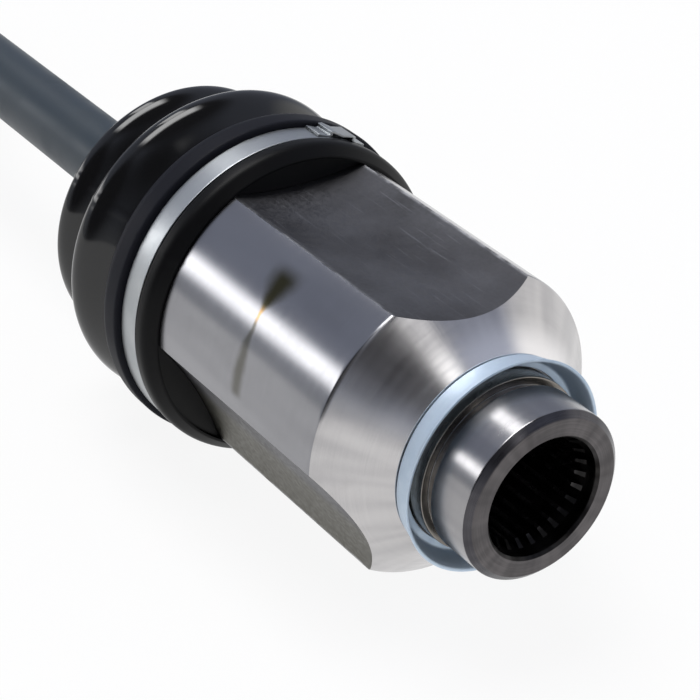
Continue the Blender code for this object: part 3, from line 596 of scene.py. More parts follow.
def finish_piece(bm, name, materials, zone=None, sharp=28.0):
    """The bmesh as an object at the origin; zone picks the material of each face."""
    for face in bm.faces:
        face.smooth = True
        if zone:
            face.material_index = zone(face)
    mesh = bpy.data.meshes.new(name)
    bm.to_mesh(mesh)
    bm.free()
    mesh.set_sharp_from_angle(angle=math.radians(sharp))
    for material in materials:
        mesh.materials.append(material)
    piece = bpy.data.objects.new(name, mesh)
    bpy.context.scene.collection.objects.link(piece)
    print(f"{name}: {len(mesh.polygons)} faces")
    return piece


def seat(piece, body, slot, *nodes):
    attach(piece, body)
    if nodes:
        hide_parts(*nodes)
    return piece


def ring_radius(vector):
    return math.hypot(vector.y, vector.z)


def turn_about_axle(angle):
    return Matrix.Rotation(math.radians(angle), 3, "X")


# %% [markdown]
# ## Tripod housing
# One forging, then turned and ground: stub, neck, shoulder, cone and three lobes. The section is spun,
# then a Boolean takes out three shallow hollows between the lobes. Where a hollow meets the cone its
# edge curves by itself, as it does on the real part, so it isn't drawn by hand.

# %% Housing
END_CHAMFER = 1.5 * MM
STUB_RADIUS = 21.9 * MM
STUB_END = 13.4 * MM
NECK_RADIUS = 20.6 * MM
NECK_END = 16.0 * MM
SHOULDER_RADIUS = 22.6 * MM
CONE_START = 21.6 * MM
CONE_FOOT = 25.7 * MM
CONE_END = 35.2 * MM
BORE_RADIUS = 15.3 * MM
BORE_LENGTH = 36.0 * MM
BORE_LEAD = 0.7 * MM
CAP_SEAT_RADIUS = 16.8 * MM
POCKET_RADIUS = 24.2 * MM
POCKET_FLOOR = 42.0 * MM
MOUTH_RADIUS = 28.7 * MM
MOUTH_TAPER = 9.0 * MM
FLAT_DEPTH = 5.0 * MM
FLAT_HOLLOW = 2.0 * MM
BOOT_SEAT_RADIUS = lobe_radius - 1.5 * MM
LOBE_ANGLE = 30.0
FLAT_ANGLES = (90.0, 210.0, 330.0)
HOLLOW_POINTS = 48
END, CHAMFER, STUB, SHOULDER, CONE, LOBE, FLAT, BORE = range(8)
half_chord = math.sqrt(lobe_radius**2 - (lobe_radius - FLAT_DEPTH) ** 2)
hollow_radius = (half_chord**2 + FLAT_HOLLOW**2) / (2 * FLAT_HOLLOW)
hollow_centre = lobe_radius - FLAT_DEPTH - FLAT_HOLLOW + hollow_radius


def across(angle):
    """The unit vector square to the axis at an angle from +Y towards +Z, in degrees."""
    return Vector((0.0, math.cos(math.radians(angle)), math.sin(math.radians(angle))))


def housing_section():
    """Corners as (distance from the end face, radius, setback in millimetres)."""
    depth = face_x - mouth_x
    seat_start = face_x - inboard_lip_x + 1.2 * MM
    corners = [
        (0.0, STUB_RADIUS - 1.7 * MM, 0.25),
        (END_CHAMFER, STUB_RADIUS, 0.3),
        (STUB_END, STUB_RADIUS, 0.35),
        (STUB_END, NECK_RADIUS, 0.25),
        (NECK_END, NECK_RADIUS, 0.25),
        (NECK_END, SHOULDER_RADIUS, 0.3),
        (CONE_START, SHOULDER_RADIUS, 0.2),
        (CONE_START, CONE_FOOT, 0.15),
        (CONE_END, lobe_radius, 0.9),
        (seat_start, lobe_radius, 0.2),
        (seat_start, BOOT_SEAT_RADIUS, 0.2),
        (depth, BOOT_SEAT_RADIUS, 0.4),
        (depth, MOUTH_RADIUS, 0.4),
        (depth - MOUTH_TAPER, POCKET_RADIUS, 1.0),
        (POCKET_FLOOR, POCKET_RADIUS, 1.0),
        (POCKET_FLOOR, CAP_SEAT_RADIUS, 0.3),
        (BORE_LENGTH, CAP_SEAT_RADIUS, 0.3),
        (BORE_LENGTH, BORE_RADIUS, 0.1),
        (BORE_LEAD, BORE_RADIUS, 0.2),
        (0.0, BORE_RADIUS + BORE_LEAD, 0.15),
    ]
    return rounded([(face_x - s, r, setback * MM) for s, r, setback in corners])


def housing_zone(face):
    centre = face.calc_center_median()
    s, r = face_x - centre.x, ring_radius(centre)
    if face.material_index == FLAT:
        return FLAT
    if s < BORE_LENGTH + 1 * MM and r < BORE_RADIUS + 0.8 * MM:
        return BORE
    if s < 0.2 * MM:
        return END
    if s < END_CHAMFER and r < STUB_RADIUS:
        return CHAMFER
    if s < CONE_START - 0.1 * MM:
        return STUB if s < NECK_END - 0.1 * MM else SHOULDER
    return CONE if s < CONE_END - 0.1 * MM else LOBE


def hollow_tool():
    """Three long wedges with a round floor, one for each hollow between the lobes."""
    bm = bmesh.new()
    spread = math.asin((half_chord + FLAT_DEPTH) / hollow_radius)
    for angle in FLAT_ANGLES:
        first = Vector((face_x - CONE_START, hollow_centre, 0.0))
        first.y -= hollow_radius * math.cos(spread)
        first.z = -hollow_radius * math.sin(spread)
        start = bm.verts.new(first)
        made = bmesh.ops.spin(
            bm,
            geom=[start],
            cent=(0, hollow_centre, 0),
            axis=(1, 0, 0),
            angle=-2 * spread,
            steps=HOLLOW_POINTS,
        )
        last = next(v for v in made["geom_last"] if isinstance(v, bmesh.types.BMVert))
        rim = sorted((v for v in bm.verts if not v.link_faces), key=lambda v: v.co.z)
        beyond = lobe_radius + FLAT_DEPTH
        corners = [bm.verts.new((first.x, beyond, z)) for z in (last.co.z, first.z)]
        floor = bm.faces.new(rim + corners)
        drawn = bmesh.ops.extrude_face_region(bm, geom=[floor])["geom"]
        moved = [v for v in drawn if isinstance(v, bmesh.types.BMVert)]
        bmesh.ops.translate(bm, verts=moved, vec=(mouth_x - face_x, 0, 0))
        wedge = list({v for face in bm.faces if not face.tag for v in face.verts})
        bmesh.ops.rotate(bm, verts=wedge, cent=(0, 0, 0), matrix=turn_about_axle(angle))
        for face in bm.faces:
            face.tag = True
    bmesh.ops.recalc_face_normals(bm, faces=bm.faces[:])
    for face in bm.faces:
        face.material_index = FLAT
    mesh = bpy.data.meshes.new("hollow_tool")
    bm.to_mesh(mesh)
    bm.free()
    tool = bpy.data.objects.new("hollow_tool", mesh)
    bpy.context.scene.collection.objects.link(tool)
    return tool


def make_housing():
    turned = (end_steel, chamfer_steel, stub_steel, shoulder_steel, cone_steel)
    finishes = (*turned, lobe_steel, flat_steel, bore_shade_steel)
    blank = finish_piece(spin_section(housing_section()), "housing_blank", finishes)
    tool = hollow_tool()
    cut = blank.modifiers.new("hollows", "BOOLEAN")
    cut.object = tool
    cut.solver = "EXACT"
    cut.operation = "DIFFERENCE"
    bpy.context.view_layer.update()
    carved = blank.evaluated_get(bpy.context.evaluated_depsgraph_get()).to_mesh()
    bm = bmesh.new()
    bm.from_mesh(carved)
    for spare in (blank, tool):
        bpy.data.objects.remove(spare, do_unlink=True)
    bmesh.ops.recalc_face_normals(bm, faces=bm.faces[:])
    housing = finish_piece(bm, "tripod_housing", finishes, housing_zone)
    return seat(housing, "housing", "ground_steel", "inboard_housing")


housing = make_housing()

# %% [markdown]
# ## Splined bore
# The gearbox shaft drives through internal teeth that begin a few millimetres behind the face. Each
# tooth is a tapered bar with a sloped lead-in, and a loop sets them round the bore.

# %% Bore teeth and cap
BORE_TEETH = 27
TOOTH_HEIGHT = 1.4 * MM
TOOTH_START = 3.6 * MM
TOOTH_LEAD = 2.6 * MM
TIP_SHARE = 0.12
FRONT_SHARE = 0.2
BACK_SHARE = 0.38


def spline_teeth(name, count, root, tip, start, end, material, lead):
    """Tapered teeth along X between two stations; tip may lie inside or outside root."""
    bm = bmesh.new()
    pitch = math.tau * root / count
    for tooth in range(count):
        made = bmesh.ops.create_cube(bm, size=1.0)["verts"]
        for vert in made:
            at_tip = vert.co.z > 0
            x = start if vert.co.x > 0 else end
            x += (-lead if vert.co.x > 0 else lead) if at_tip else 0.0
            share = TIP_SHARE if at_tip else (FRONT_SHARE if vert.co.x > 0 else BACK_SHARE)
            half = pitch * share * (1 if vert.co.y > 0 else -1)
            vert.co = (x, half, tip if at_tip else root)
        turn = Matrix.Rotation(math.tau * tooth / count, 4, "X")
        bmesh.ops.transform(bm, matrix=turn, verts=made)
    bmesh.ops.recalc_face_normals(bm, faces=bm.faces[:])
    return finish_piece(bm, name, (material,), sharp=20.0)


teeth = spline_teeth(
    "bore_teeth",
    BORE_TEETH,
    BORE_RADIUS + 0.15 * MM,
    BORE_RADIUS - TOOTH_HEIGHT,
    face_x - TOOTH_START,
    face_x - BORE_LENGTH,
    teeth_steel,
    TOOTH_LEAD,
)
seat(teeth, "housing", "ground_steel")


def make_cap():
    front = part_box("grease_cap")[1].x
    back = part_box("grease_cap")[0].x
    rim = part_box("grease_cap")[1].z
    wall = 1.3 * MM
    corners = [
        (front - 0.6 * MM, 0.0, 0.0),
        (front - 0.6 * MM, rim * 0.45, 2.0 * MM),
        (front, rim * 0.6, 2.0 * MM),
        (front, rim, 1.0 * MM),
        (back, rim, 0.2 * MM),
        (back, rim - wall, 0.2 * MM),
        (front - wall, rim - wall, 0.5 * MM),
        (front - wall - 0.6 * MM, 0.0, 0.0),
    ]
    bm = spin_section(rounded(corners, closed=False), closed=False, steps=96)
    return seat(finish_piece(bm, "bore_cap", (bore_shade_steel,)), "housing", "machined_steel", "grease_cap")


make_cap()

# %% [markdown]
# ## Dust shield
# A drawn cup of zinc-plated sheet pressed on the shoulder, open towards the stub. Its wall flares and
# its free rim is rolled slightly outwards, which gives the thin bright line round its edge.

# %% Dust shield


def make_shield():
    low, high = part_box("dust_shield")
    rim, wall, flare = high.y, 0.9 * MM, 2.0 * MM
    back = rim - flare
    inner_seat = STUB_RADIUS + 1.0 * MM
    corners = [
        (high.x, rim, 0.4 * MM),
        (high.x - 1.0 * MM, rim - 0.55 * MM, 0.6 * MM),
        (low.x, back, 0.7 * MM),
        (low.x, inner_seat, 0.2 * MM),
        (low.x + wall, inner_seat, 0.2 * MM),
        (low.x + wall, back - wall, 0.6 * MM),
        (high.x - 1.2 * MM, rim - 0.55 * MM - wall, 0.6 * MM),
        (high.x, rim - wall, 0.4 * MM),
    ]
    shield = finish_piece(spin_section(rounded(corners)), "shield_cup", (shield_zinc,))
    return seat(shield, "housing", "zinc_plate", "dust_shield")


make_shield()

# %% [markdown]
# ## Trilobe bush
# A round boot can't seal on flats, so a rubber bush fills the three segments. Two loops of vertices, a
# circle and the lobed outline, are bridged and drawn out along the axis.

# %% Bush
BUSH_POINTS = 240


def make_bush():
    low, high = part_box("trilobe_bush")
    outer = high.y
    gap = 0.2 * MM
    bm = bmesh.new()
    loops = []
    for lobed in (False, True):
        ring = []
        for i in range(BUSH_POINTS):
            angle = 360.0 * i / BUSH_POINTS
            radius = outer
            if lobed:
                turn = math.radians((angle - LOBE_ANGLE) % 120.0 - 60.0)
                reach = hollow_centre + gap
                aside = min(hollow_radius, abs(reach * math.sin(turn)))
                floor = reach * math.cos(turn) - math.sqrt(hollow_radius**2 - aside**2)
                radius = min(BOOT_SEAT_RADIUS + gap, floor)
            ring.append(bm.verts.new(Vector((high.x, 0, 0)) + across(angle) * radius))
        loops.append([bm.edges.new((ring[i - 1], ring[i])) for i in range(BUSH_POINTS)])
    front = bmesh.ops.bridge_loops(bm, edges=loops[0] + loops[1])["faces"]
    made = bmesh.ops.extrude_face_region(bm, geom=front)["geom"]
    moved = [v for v in made if isinstance(v, bmesh.types.BMVert)]
    bmesh.ops.translate(bm, verts=moved, vec=(low.x - high.x, 0, 0))
    bmesh.ops.recalc_face_normals(bm, faces=bm.faces[:])
    return seat(finish_piece(bm, "boot_bush", (bush_rubber,)), "housing", "bush_rubber", "trilobe_bush")


make_bush()

# %% [markdown]
# ## Boots
# Each boot is one moulded bellows: a cuff with a lip, a groove for the clamp and a collar, then folds
# that shrink towards a small cuff on the bar. The wall follows waves with broad crests and narrow
# valleys. It is made as two meshes: the inboard pair meets just past the first crest, the outboard
# pair in a valley.

# %% Boot sections
BOOT_WALL = 1.5 * MM
LIP_LENGTH = 6.3 * MM
LIP_FRONT = 2.6 * MM
GROOVE_LENGTH = 7.2 * MM
COLLAR_LENGTH = 4.7 * MM
LIP_HEIGHT = 1.4 * MM
COLLAR_HEIGHT = 2.6 * MM
SMALL_RIDGE = 1.6 * MM
SMALL_GROOVE = 6.6 * MM
SMALL_HEIGHT = 1.2 * MM
SMALL_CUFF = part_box("inboard_small_clamp")[1].y - 1.1 * MM
COLLAR_END = LIP_LENGTH + GROOVE_LENGTH + COLLAR_LENGTH
FOLD_POINTS = 20
CREST_BREADTH = 0.75
BOOT_STEPS = 240
PARTING_ANGLE = 148.5
PARTING_RISE = 0.15 * MM
COLLAR_FADE = 2.6 * MM
COLLAR_FOOT_SHARE = 0.3
BELLOWS, COLLAR, LIP = range(3)


def fold_wave(first, last, count=FOLD_POINTS):
    """Points after first on a wave to last, with broad round crests and narrow valleys."""
    wave = []
    for i in range(1, count + 1):
        share = i / count
        even = (1 - math.cos(math.pi * share)) / 2
        quarter = math.pi * share / 2
        broad = math.sin(quarter) if last[1] > first[1] else 1 - math.cos(quarter)
        rise = even + (broad - even) * CREST_BREADTH
        wave.append((first[0] + (last[0] - first[0]) * share, first[1] + (last[1] - first[1]) * rise))
    return wave


def cuff_section(cuff, foot):
    """The large cuff's outside, from the lip's foot on the steel to the end of the collar."""
    corners = [
        (0.0, foot, 0.0),
        (0.0, foot + 0.6 * MM, 0.4 * MM),
        (LIP_FRONT, cuff + LIP_HEIGHT, 1.4 * MM),
        (LIP_LENGTH - 0.3 * MM, cuff + LIP_HEIGHT, 0.9 * MM),
        (LIP_LENGTH, cuff, 0.25 * MM),
        (LIP_LENGTH + GROOVE_LENGTH, cuff, 0.25 * MM),
        (LIP_LENGTH + GROOVE_LENGTH + 0.3 * MM, cuff + COLLAR_HEIGHT, 0.8 * MM),
        (COLLAR_END, cuff + COLLAR_HEIGHT, 0.0),
    ]
    return rounded(corners, closed=False)


def small_cuff_section(start):
    ridge = SMALL_CUFF + SMALL_HEIGHT
    corners = [
        (start, ridge, 0.0),
        (start + SMALL_RIDGE, ridge, 0.4 * MM),
        (start + SMALL_RIDGE, SMALL_CUFF, 0.2 * MM),
        (start + SMALL_RIDGE + SMALL_GROOVE, SMALL_CUFF, 0.2 * MM),
        (start + SMALL_RIDGE + SMALL_GROOVE, ridge, 0.4 * MM),
        (start + 2 * SMALL_RIDGE + SMALL_GROOVE, ridge, 0.4 * MM),
        (start + 2 * SMALL_RIDGE + SMALL_GROOVE, SMALL_CUFF - 0.4 * MM, 0.0),
    ]
    return rounded(corners, closed=False)[1:]


def boot_outside(cuff, foot, folds, pitch, first_fold, radius, taper, depth, seam_turn, seam_step):
    """The whole outside as (distance from the lip, radius), and where the two meshes meet."""
    outside = cuff_section(cuff, foot)
    turns = []
    for fold in range(folds):
        crest = COLLAR_END + first_fold + fold * pitch
        turns.append((crest - pitch / 2, radius - fold * taper - depth))
        turns.append((crest, radius - fold * taper))
    small_start = turns[-1][0] + pitch / 2
    seam = None
    for number, turn in enumerate(turns):
        outside += fold_wave(outside[-1], turn)
        if number == seam_turn:
            seam = len(outside) - 1 + seam_step
    outside += fold_wave(outside[-1], (small_start, SMALL_CUFF + SMALL_HEIGHT), 2 * FOLD_POINTS)
    outside += small_cuff_section(small_start)
    return outside, seam, small_start


def wall_loop(outside):
    """Closes an open outside with an inside that lies a wall's thickness below it."""
    inside = []
    for i, (x, r) in enumerate(outside):
        if x < LIP_FRONT:
            continue
        before, after = outside[max(0, i - 1)], outside[min(len(outside) - 1, i + 1)]
        run = Vector((after[0] - before[0], after[1] - before[1])).normalized()
        inside.append((x + run.y * BOOT_WALL, r - run.x * BOOT_WALL))
    return outside + inside[::-1]


def boot_mesh(name, outside, lip_x, sense, zone):
    """One length of bellows; sense is -1 where it runs towards -X from its lip."""
    loop = [(lip_x + sense * d, r) for d, r in wall_loop(outside)]
    bm = spin_section(loop, steps=BOOT_STEPS)
    for vert in bm.verts:
        turn = (math.degrees(math.atan2(vert.co.z, vert.co.y)) - PARTING_ANGLE) % 180.0
        if min(turn, 180.0 - turn) < 180.0 / BOOT_STEPS:
            vert.co += vert.normal * PARTING_RISE
    return finish_piece(bm, name, (boot_rubber, collar_rubber, lip_rubber), zone, sharp=50.0)


# %% Both boots
INBOARD_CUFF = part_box("inboard_large_clamp")[1].y - 1.1 * MM
OUTBOARD_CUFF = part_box("outboard_large_clamp")[1].y - 1.1 * MM
bell_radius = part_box("outboard_bell")[1].y
print(f"cuffs {INBOARD_CUFF:.4f} {OUTBOARD_CUFF:.4f}, lobe {lobe_radius:.4f}, bell {bell_radius:.4f}")


def collar_zone(lip_x, cuff):
    def zone(face):
        centre = face.calc_center_median()
        distance = abs(centre.x - lip_x)
        if distance < LIP_LENGTH + GROOVE_LENGTH:
            return LIP
        on_collar = distance < COLLAR_END + COLLAR_FADE
        raised = ring_radius(centre) > cuff + COLLAR_FOOT_SHARE * COLLAR_HEIGHT
        return COLLAR if on_collar and raised else BELLOWS

    return zone


def make_boot(side, cuff, foot, folds, lip_x, sense, seam_turn, seam_step):
    outside, seam, small_start = boot_outside(cuff, foot, *folds, seam_turn, seam_step)
    zone = collar_zone(lip_x, cuff)
    seam_distance = outside[seam][0]
    large = boot_mesh(f"{side}_boot_large_end", outside[: seam + 1], lip_x, sense, zone)
    small = boot_mesh(f"{side}_boot_small_end", outside[seam:], lip_x, sense, zone)

    def station(distance):
        return (lip_x + sense * distance, 0.0, 0.0)

    station(seam_distance)
    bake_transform(large)
    station(seam_distance)
    station(small_start)
    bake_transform(small)
    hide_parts(f"{side}_boot")
    return large, small


# Folds, pitch, first crest from the collar, crest radius, taper for each fold, depth.
FOOT_GAP = 0.1 * MM
INBOARD_FOLDS = (2, 19.2 * MM, 18.7 * MM, 43.8 * MM, 6.2 * MM, 6.7 * MM)
OUTBOARD_FOLDS = (5, 12.5 * MM, 11.0 * MM, 45.0 * MM, 4.6 * MM, 6.0 * MM)
make_boot(
    "inboard", INBOARD_CUFF, lobe_radius + FOOT_GAP, INBOARD_FOLDS, inboard_lip_x, -1,
    1, FOLD_POINTS // 4,
)
make_boot(
    "outboard", OUTBOARD_CUFF, bell_radius + FOOT_GAP, OUTBOARD_FOLDS, outboard_lip_x, 1,
    4, 0,
)

# %% [markdown]
# ## Band clamps
# A strip runs round each cuff, and a crimped ear draws it tight. The ear is an arch of the same strip:
# its outline is drawn as a chain of vertices, pulled out along the axis and given a thickness.

# %% Clamps
STRIP = 0.8 * MM
EAR_ANGLE = 67.0
EAR_WIDTH = 9.0 * MM
EAR_HEIGHT = 1.7 * MM
EAR_INSET = 0.3 * MM
EAR_SHEET = 0.7 * MM
CLAMP_BODIES = {
    "inboard_large_clamp": "housing",
    "outboard_large_clamp": "bell",
    "inboard_small_clamp": "bar",
    "outboard_small_clamp": "bar",
}


def arch_points(width, height, outer):
    """The ear's line as (tangential, radial) points: feet, pinched sides and a dished top."""
    half = width / 2
    return [
        (-half - 3.2 * MM, outer + 0.1 * MM),
        (-half, outer + 0.2 * MM),
        (-half + 0.5 * MM, outer + 0.35 * height),
        (-half + 0.2 * MM, outer + 0.8 * height),
        (-half + 1.2 * MM, outer + height),
        (0.0, outer + height - 0.5 * MM),
        (half - 1.2 * MM, outer + height),
        (half - 0.2 * MM, outer + 0.8 * height),
        (half - 0.5 * MM, outer + 0.35 * height),
        (half, outer + 0.2 * MM),
        (half + 3.2 * MM, outer + 0.1 * MM),
    ]


def make_clamp(node, body):
    low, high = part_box(node)
    outer = high.y
    inner = outer - STRIP
    corners = [
        (high.x, outer, 0.25 * MM),
        (low.x, outer, 0.25 * MM),
        (low.x, inner, 0.15 * MM),
        (high.x, inner, 0.15 * MM),
    ]
    band = finish_piece(spin_section(rounded(corners)), f"{node}_band", (clamp_zinc,))
    seat(band, body, "zinc_plate", node)
    bm = bmesh.new()
    arch = arch_points(EAR_WIDTH, EAR_HEIGHT, outer)
    chain = [bm.verts.new((high.x - EAR_INSET, r, t)) for t, r in arch]
    edges = [bm.edges.new(pair) for pair in zip(chain, chain[1:])]
    made = bmesh.ops.extrude_edge_only(bm, edges=edges)["geom"]
    moved = [v for v in made if isinstance(v, bmesh.types.BMVert)]
    bmesh.ops.translate(bm, verts=moved, vec=(low.x - high.x + 2 * EAR_INSET, 0, 0))
    bmesh.ops.recalc_face_normals(bm, faces=bm.faces[:])
    bmesh.ops.solidify(bm, geom=bm.faces[:], thickness=EAR_SHEET)
    bmesh.ops.rotate(bm, verts=bm.verts[:], cent=(0, 0, 0), matrix=turn_about_axle(EAR_ANGLE))
    bmesh.ops.recalc_face_normals(bm, faces=bm.faces[:])
    ear = finish_piece(bm, f"{node}_ear", (clamp_zinc,), sharp=60.0)
    soften = ear.modifiers.new("soften", "BEVEL")
    soften.width = 0.15 * MM
    soften.segments = 2
    seat(ear, body, "zinc_plate")


for clamp_node, clamp_body in CLAMP_BODIES.items():
    make_clamp(clamp_node, clamp_body)

# %% [markdown]
# ## Bar
# A plain painted bar with a raised seat under each small cuff. Its splined ends are hidden in the
# joints.

# %% Bar
BAR_RADIUS = 10.25 * MM
BAR_SPLINE_RADIUS = 9.6 * MM
SEAT_RISE = 1.95 * MM


def make_bar():
    low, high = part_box("axle_shaft")
    seats = []
    for node in ("inboard_small_clamp", "outboard_small_clamp"):
        near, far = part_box(node)
        seats.append((far.x + 2.0 * MM, near.x - 2.0 * MM))
    shoulder = 10.3 * MM
    corners = [
        (high.x, 0.0, 0.0),
        (high.x, BAR_SPLINE_RADIUS, 0.6 * MM),
        (tripod_x - shoulder, BAR_SPLINE_RADIUS, 0.2 * MM),
        (tripod_x - shoulder, BAR_RADIUS, 0.2 * MM),
    ]
    for start, end in seats:
        corners += [
            (start + SEAT_RISE, BAR_RADIUS, 1.0 * MM),
            (start, BAR_RADIUS + SEAT_RISE, 1.0 * MM),
            (end, BAR_RADIUS + SEAT_RISE, 1.0 * MM),
            (end - SEAT_RISE, BAR_RADIUS, 1.0 * MM),
        ]
    corners += [
        (ball_joint_x + shoulder + 1.0 * MM, BAR_RADIUS, 0.2 * MM),
        (ball_joint_x + shoulder + 1.0 * MM, BAR_SPLINE_RADIUS, 0.2 * MM),
        (low.x, BAR_SPLINE_RADIUS, 0.6 * MM),
        (low.x, 0.0, 0.0),
    ]
    bm = spin_section(rounded(corners, closed=False), closed=False, steps=128)
    return seat(finish_piece(bm, "painted_bar", (bar_paint,)), "bar", "bar_paint", "axle_shaft")


make_bar()

# %% [markdown]
# ## Bell and stub axle
# The ball joint's bell is a forged cup with a turned stub: a shoulder for the wheel bearing, a journal,
# a splined length and a thread. The thread is a helix made by a spin that also moves along the axis.

# %% Bell
WHEEL_SPLINE_RADIUS = 12.9 * MM
WHEEL_TOOTH = 0.9 * MM
WHEEL_TEETH = 26
THREAD_RADIUS = 11.0 * MM
THREAD_ROOT = 10.3 * MM
THREAD_PITCH = 1.5 * MM
THREAD_STEPS = 48
THREAD_START = 21.5 * MM
THREAD_END = 3.2 * MM
GROUND_PAST = -40.3
FORGED_SPAN = (-39.7, -16.5)
FORGED_RADIUS = 28.0 * MM
TURNED, GROUND, FORGED = range(3)


def make_bell():
    """Corners in millimetres, as (distance from the ball joint's centre, radius, setback)."""
    low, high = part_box("outboard_bell")
    body = high.y
    bell_seat = body - 2.2 * MM
    corners = [
        (-30.9, 0.0, 0.0),
        (-28.0, 13.0, 4.0),
        (-16.0, 26.4, 6.0),
        (5.0, 30.5, 3.0),
        (17.0, bell_seat / MM - 4.5, 0.4),
        (17.0, bell_seat / MM, 0.8),
        (-1.5, bell_seat / MM, 0.2),
        (-1.5, body / MM, 0.6),
        (-16.0, body / MM, 3.0),
        (-26.0, body / MM - 3.5, 5.0),
        (-34.0, 29.6, 2.0),
        (-40.0, 29.0, 0.5),
        (-40.0, 17.9, 0.3),
        (-41.2, 17.2, 0.2),
        (-42.0, 17.5, 0.2),
        (-63.0, 17.5, 0.4),
        (-64.0, 16.5, 0.2),
        (-64.0, 13.6, 0.6),
        (-66.0, WHEEL_SPLINE_RADIUS / MM, 0.4),
        (-96.0, WHEEL_SPLINE_RADIUS / MM, 0.4),
        (-96.0, 10.4, 0.3),
        (-117.6, 10.4, 0.3),
        (-119.5, 8.6, 0.2),
        (-119.5, 3.2, 0.2),
        (-117.0, 1.6, 0.2),
        (-113.0, 1.6, 0.2),
        (-112.2, 0.0, 0.0),
    ]
    placed = [(ball_joint_x + x * MM, r * MM, size * MM) for x, r, size in corners]
    bm = spin_section(rounded(placed, closed=False), closed=False, steps=160)

    def zone(face):
        centre = face.calc_center_median()
        x = (centre.x - ball_joint_x) / MM
        if x < GROUND_PAST:
            return GROUND
        outside = ring_radius(centre) > FORGED_RADIUS
        return FORGED if FORGED_SPAN[0] < x < FORGED_SPAN[1] and outside else TURNED

    bell = finish_piece(bm, "bell_and_stub", (bell_steel, stub_steel, forged_bell), zone)
    seat(bell, "bell", "machined_steel", "outboard_bell")
    teeth = spline_teeth(
        "wheel_spline_teeth",
        WHEEL_TEETH,
        WHEEL_SPLINE_RADIUS - 0.1 * MM,
        WHEEL_SPLINE_RADIUS + WHEEL_TOOTH,
        ball_joint_x - 66.5 * MM,
        ball_joint_x - 94.0 * MM,
        stub_steel,
        0.9 * MM,
    )
    seat(teeth, "bell", "machined_steel")
    return low


def make_thread(start_x, end_x):
    bm = bmesh.new()
    flanks = ((-0.48, THREAD_ROOT), (-0.12, THREAD_RADIUS), (0.12, THREAD_RADIUS), (0.48, THREAD_ROOT))
    verts = [bm.verts.new((start_x + p * THREAD_PITCH, 0.0, r)) for p, r in flanks]
    turns = (start_x - end_x) / THREAD_PITCH
    steps = int(turns * THREAD_STEPS)
    step_move = Vector((-(start_x - end_x) / steps, 0.0, 0.0))
    helix = {"dvec": step_move, "angle": math.tau * turns, "steps": steps}
    bmesh.ops.spin(bm, geom=[bm.faces.new(verts)], cent=(0, 0, 0), axis=(1, 0, 0), **helix)
    bmesh.ops.recalc_face_normals(bm, faces=bm.faces[:])
    return seat(finish_piece(bm, "stub_thread", (stub_steel,), sharp=35.0), "bell", "machined_steel")


stub_tip_x = make_bell().x
make_thread(stub_tip_x + THREAD_START, stub_tip_x + THREAD_END)

# %% [markdown]
# ## Pieces inside the joints
# The spider, rollers, needles, races, balls and rings are hidden unless the boots come off. Their CAD
# solids are right as they are, and only get finishes.

# %% Inner pieces


def refinish(node, material):
    slots = frame["nodes"][node].data.materials
    slots.clear()
    slots.append(material)


for node in frame["nodes"]:
    if node.startswith(("roller_clip", "spider_ring", "race_ring")):
        refinish(node, spring_steel)
    elif node.startswith(("roller", "needle", "tripod", "ball", "inner")):
        refinish(node, inner_steel)
print("inner pieces finished")

# %% [markdown]
# ## Studio
# A white floor lies under a light tent that is open, and so dark, behind the camera: that dark side is
# what gives turned steel its contrast. Four soft boxes draw the streaks on the steel and the rubber.
# The floor turns white for the camera and for reflections, yet keeps a soft shadow.

# %% Floor, world and lights
FLOOR_SIZE = 8.0
FLOOR_GLOW = 0.9
HORIZON = (0.50, 0.52, 0.56)
MIDDLE = (0.38, 0.41, 0.50)
ZENITH = (0.10, 0.10, 0.11)
BACKDROP = (1.0, 1.0, 1.0)
OPEN_SIDE = (0.07, 0.07, 0.075)
MIDDLE_SPAN = (0.0, 0.35)
ZENITH_SPAN = (0.80, 0.93)
# Colour, azimuth, elevation, and the cosines from the middle where it begins and is full.
BROAD_PLACES = (
    (BACKDROP, 172.0, 2.0, 0.80, 0.95),
    (OPEN_SIDE, 68.0, 36.0, 0.80, 1.0),
    (OPEN_SIDE, 6.0, 26.0, 0.80, 0.95),
)
# Name, azimuth, elevation, length, width and soft edge in degrees, and level.
SOFT_BOXES = (
    ("left_strip", -46.0, 15.5, 44.0, 9.0, 3.5, 4.3),
    ("back_box", -90.5, 56.0, 20.0, 13.0, 1.5, 4.8),
    ("overhead", -60.0, 77.0, 22.0, 36.0, 4.0, 7.0),
    ("right_panel", 89.0, 43.5, 24.0, 13.0, 4.0, 1.5),
)
FLOOR_WHITE = (0.93, 0.93, 0.93, 1.0)
FILL_HEIGHT = 1.2
FILL_SIZE = 1.2
FILL_POWER = 1.5


def make_floor():
    bm = bmesh.new()
    bmesh.ops.create_grid(bm, x_segments=1, y_segments=1, size=FLOOR_SIZE / 2)
    bmesh.ops.translate(bm, verts=bm.verts[:], vec=(0, 0, cad_low.z - 0.5 * MM))
    mesh = bpy.data.meshes.new("floor")
    bm.to_mesh(mesh)
    bm.free()
    material, tree, shader = blank_material("floor_white", Roughness=0.9, Base_Color=FLOOR_WHITE)
    glow = add_node(tree, "ShaderNodeEmission", {"Color": (1, 1, 1, 1), "Strength": 1.0})
    path = add_node(tree, "ShaderNodeLightPath").outputs
    mirrored = calc(tree, "MAXIMUM", path["Is Glossy Ray"], path["Is Transmission Ray"])
    seen = calc(tree, "MAXIMUM", path["Is Camera Ray"], mirrored)
    share = calc(tree, "MULTIPLY", seen, FLOOR_GLOW)
    mixed = add_node(tree, "ShaderNodeMixShader", {0: share, 1: shader.outputs[0], 2: glow.outputs[0]})
    tree.links.new(mixed.outputs[0], tree.nodes["Material Output"].inputs["Surface"])
    mesh.materials.append(material)
    floor = bpy.data.objects.new("floor", mesh)
    bpy.context.scene.collection.objects.link(floor)


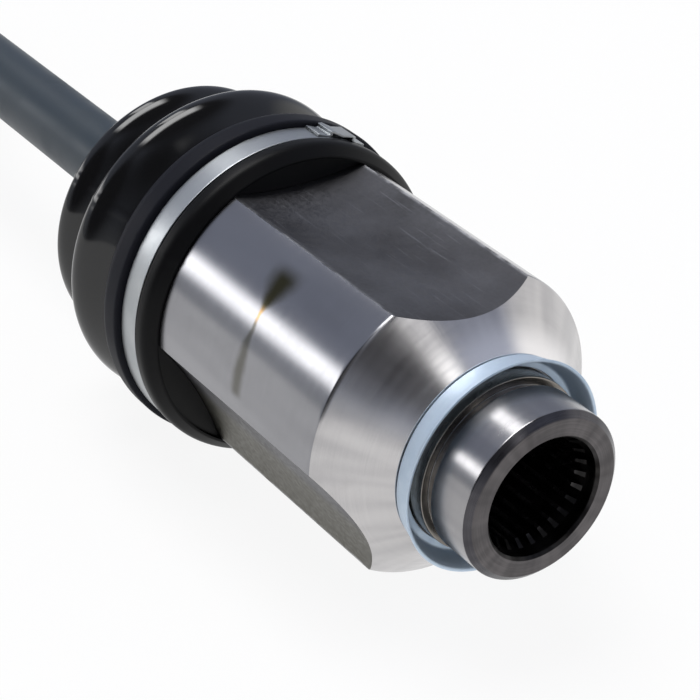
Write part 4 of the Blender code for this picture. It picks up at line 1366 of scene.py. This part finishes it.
def facing(tree, place, direction):
    node = add_node(tree, "ShaderNodeVectorMath", {0: place, 1: direction}, operation="DOT_PRODUCT")
    return node.outputs["Value"]


def panel(tree, place, azimuth, elevation, length, width, soft):
    """A mask for a soft box far away, its length turned along the axle; all sizes in degrees."""
    centre = direction_from(azimuth, elevation)
    along = (Vector((1, 0, 0)) - centre * centre.x).normalized()
    ahead = facing(tree, place, centre)
    mask = calc(tree, "GREATER_THAN", ahead, 0.0)
    for side, size in ((along, length), (centre.cross(along), width)):
        slope = calc(tree, "ABSOLUTE", calc(tree, "DIVIDE", facing(tree, place, side), ahead))
        inner = math.tan(math.radians(size / 2 - soft))
        outer = math.tan(math.radians(size / 2 + soft))
        mask = calc(tree, "MULTIPLY", mask, remap(tree, slope, inner, outer, 1.0, 0.0))
    return mask


def make_world():
    world = bpy.data.worlds.new("studio")
    bpy.context.scene.world = world
    world.use_nodes = True
    tree = world.node_tree
    place = add_node(tree, "ShaderNodeTexCoord").outputs["Generated"]
    height = add_node(tree, "ShaderNodeSeparateXYZ", {0: place}).outputs[2]
    light = mix_colour(tree, remap(tree, height, *MIDDLE_SPAN), HORIZON, MIDDLE)
    light = mix_colour(tree, remap(tree, height, *ZENITH_SPAN), light, ZENITH)
    for colour, azimuth, elevation, rim, core in BROAD_PLACES:
        share = remap(tree, facing(tree, place, direction_from(azimuth, elevation)), rim, core)
        light = mix_colour(tree, share, light, colour)
    for name, azimuth, elevation, length, width, soft, level in SOFT_BOXES:
        mask = panel(tree, place, azimuth, elevation, length, width, soft)
        light = mix_colour(tree, mask, light, (level, level, level))
        print(f"soft box {name} at {azimuth:.0f}, {elevation:.0f} degrees, level {level}")
    tree.links.new(light, tree.nodes["Background"].inputs["Color"])


def make_fill():
    """An overhead soft box for the matt surfaces; it stays out of reflections."""
    data = bpy.data.lights.new("overhead_fill", "AREA")
    data.size = FILL_SIZE
    data.energy = FILL_POWER
    fill = bpy.data.objects.new("overhead_fill", data)
    fill.location = CAMERA_AIM + Vector((0, 0, FILL_HEIGHT))
    fill.visible_glossy = False
    bpy.context.scene.collection.objects.link(fill)


make_floor()
make_world()
make_fill()
bpy.context.scene.view_settings.view_transform = "Standard"
print("studio ready")
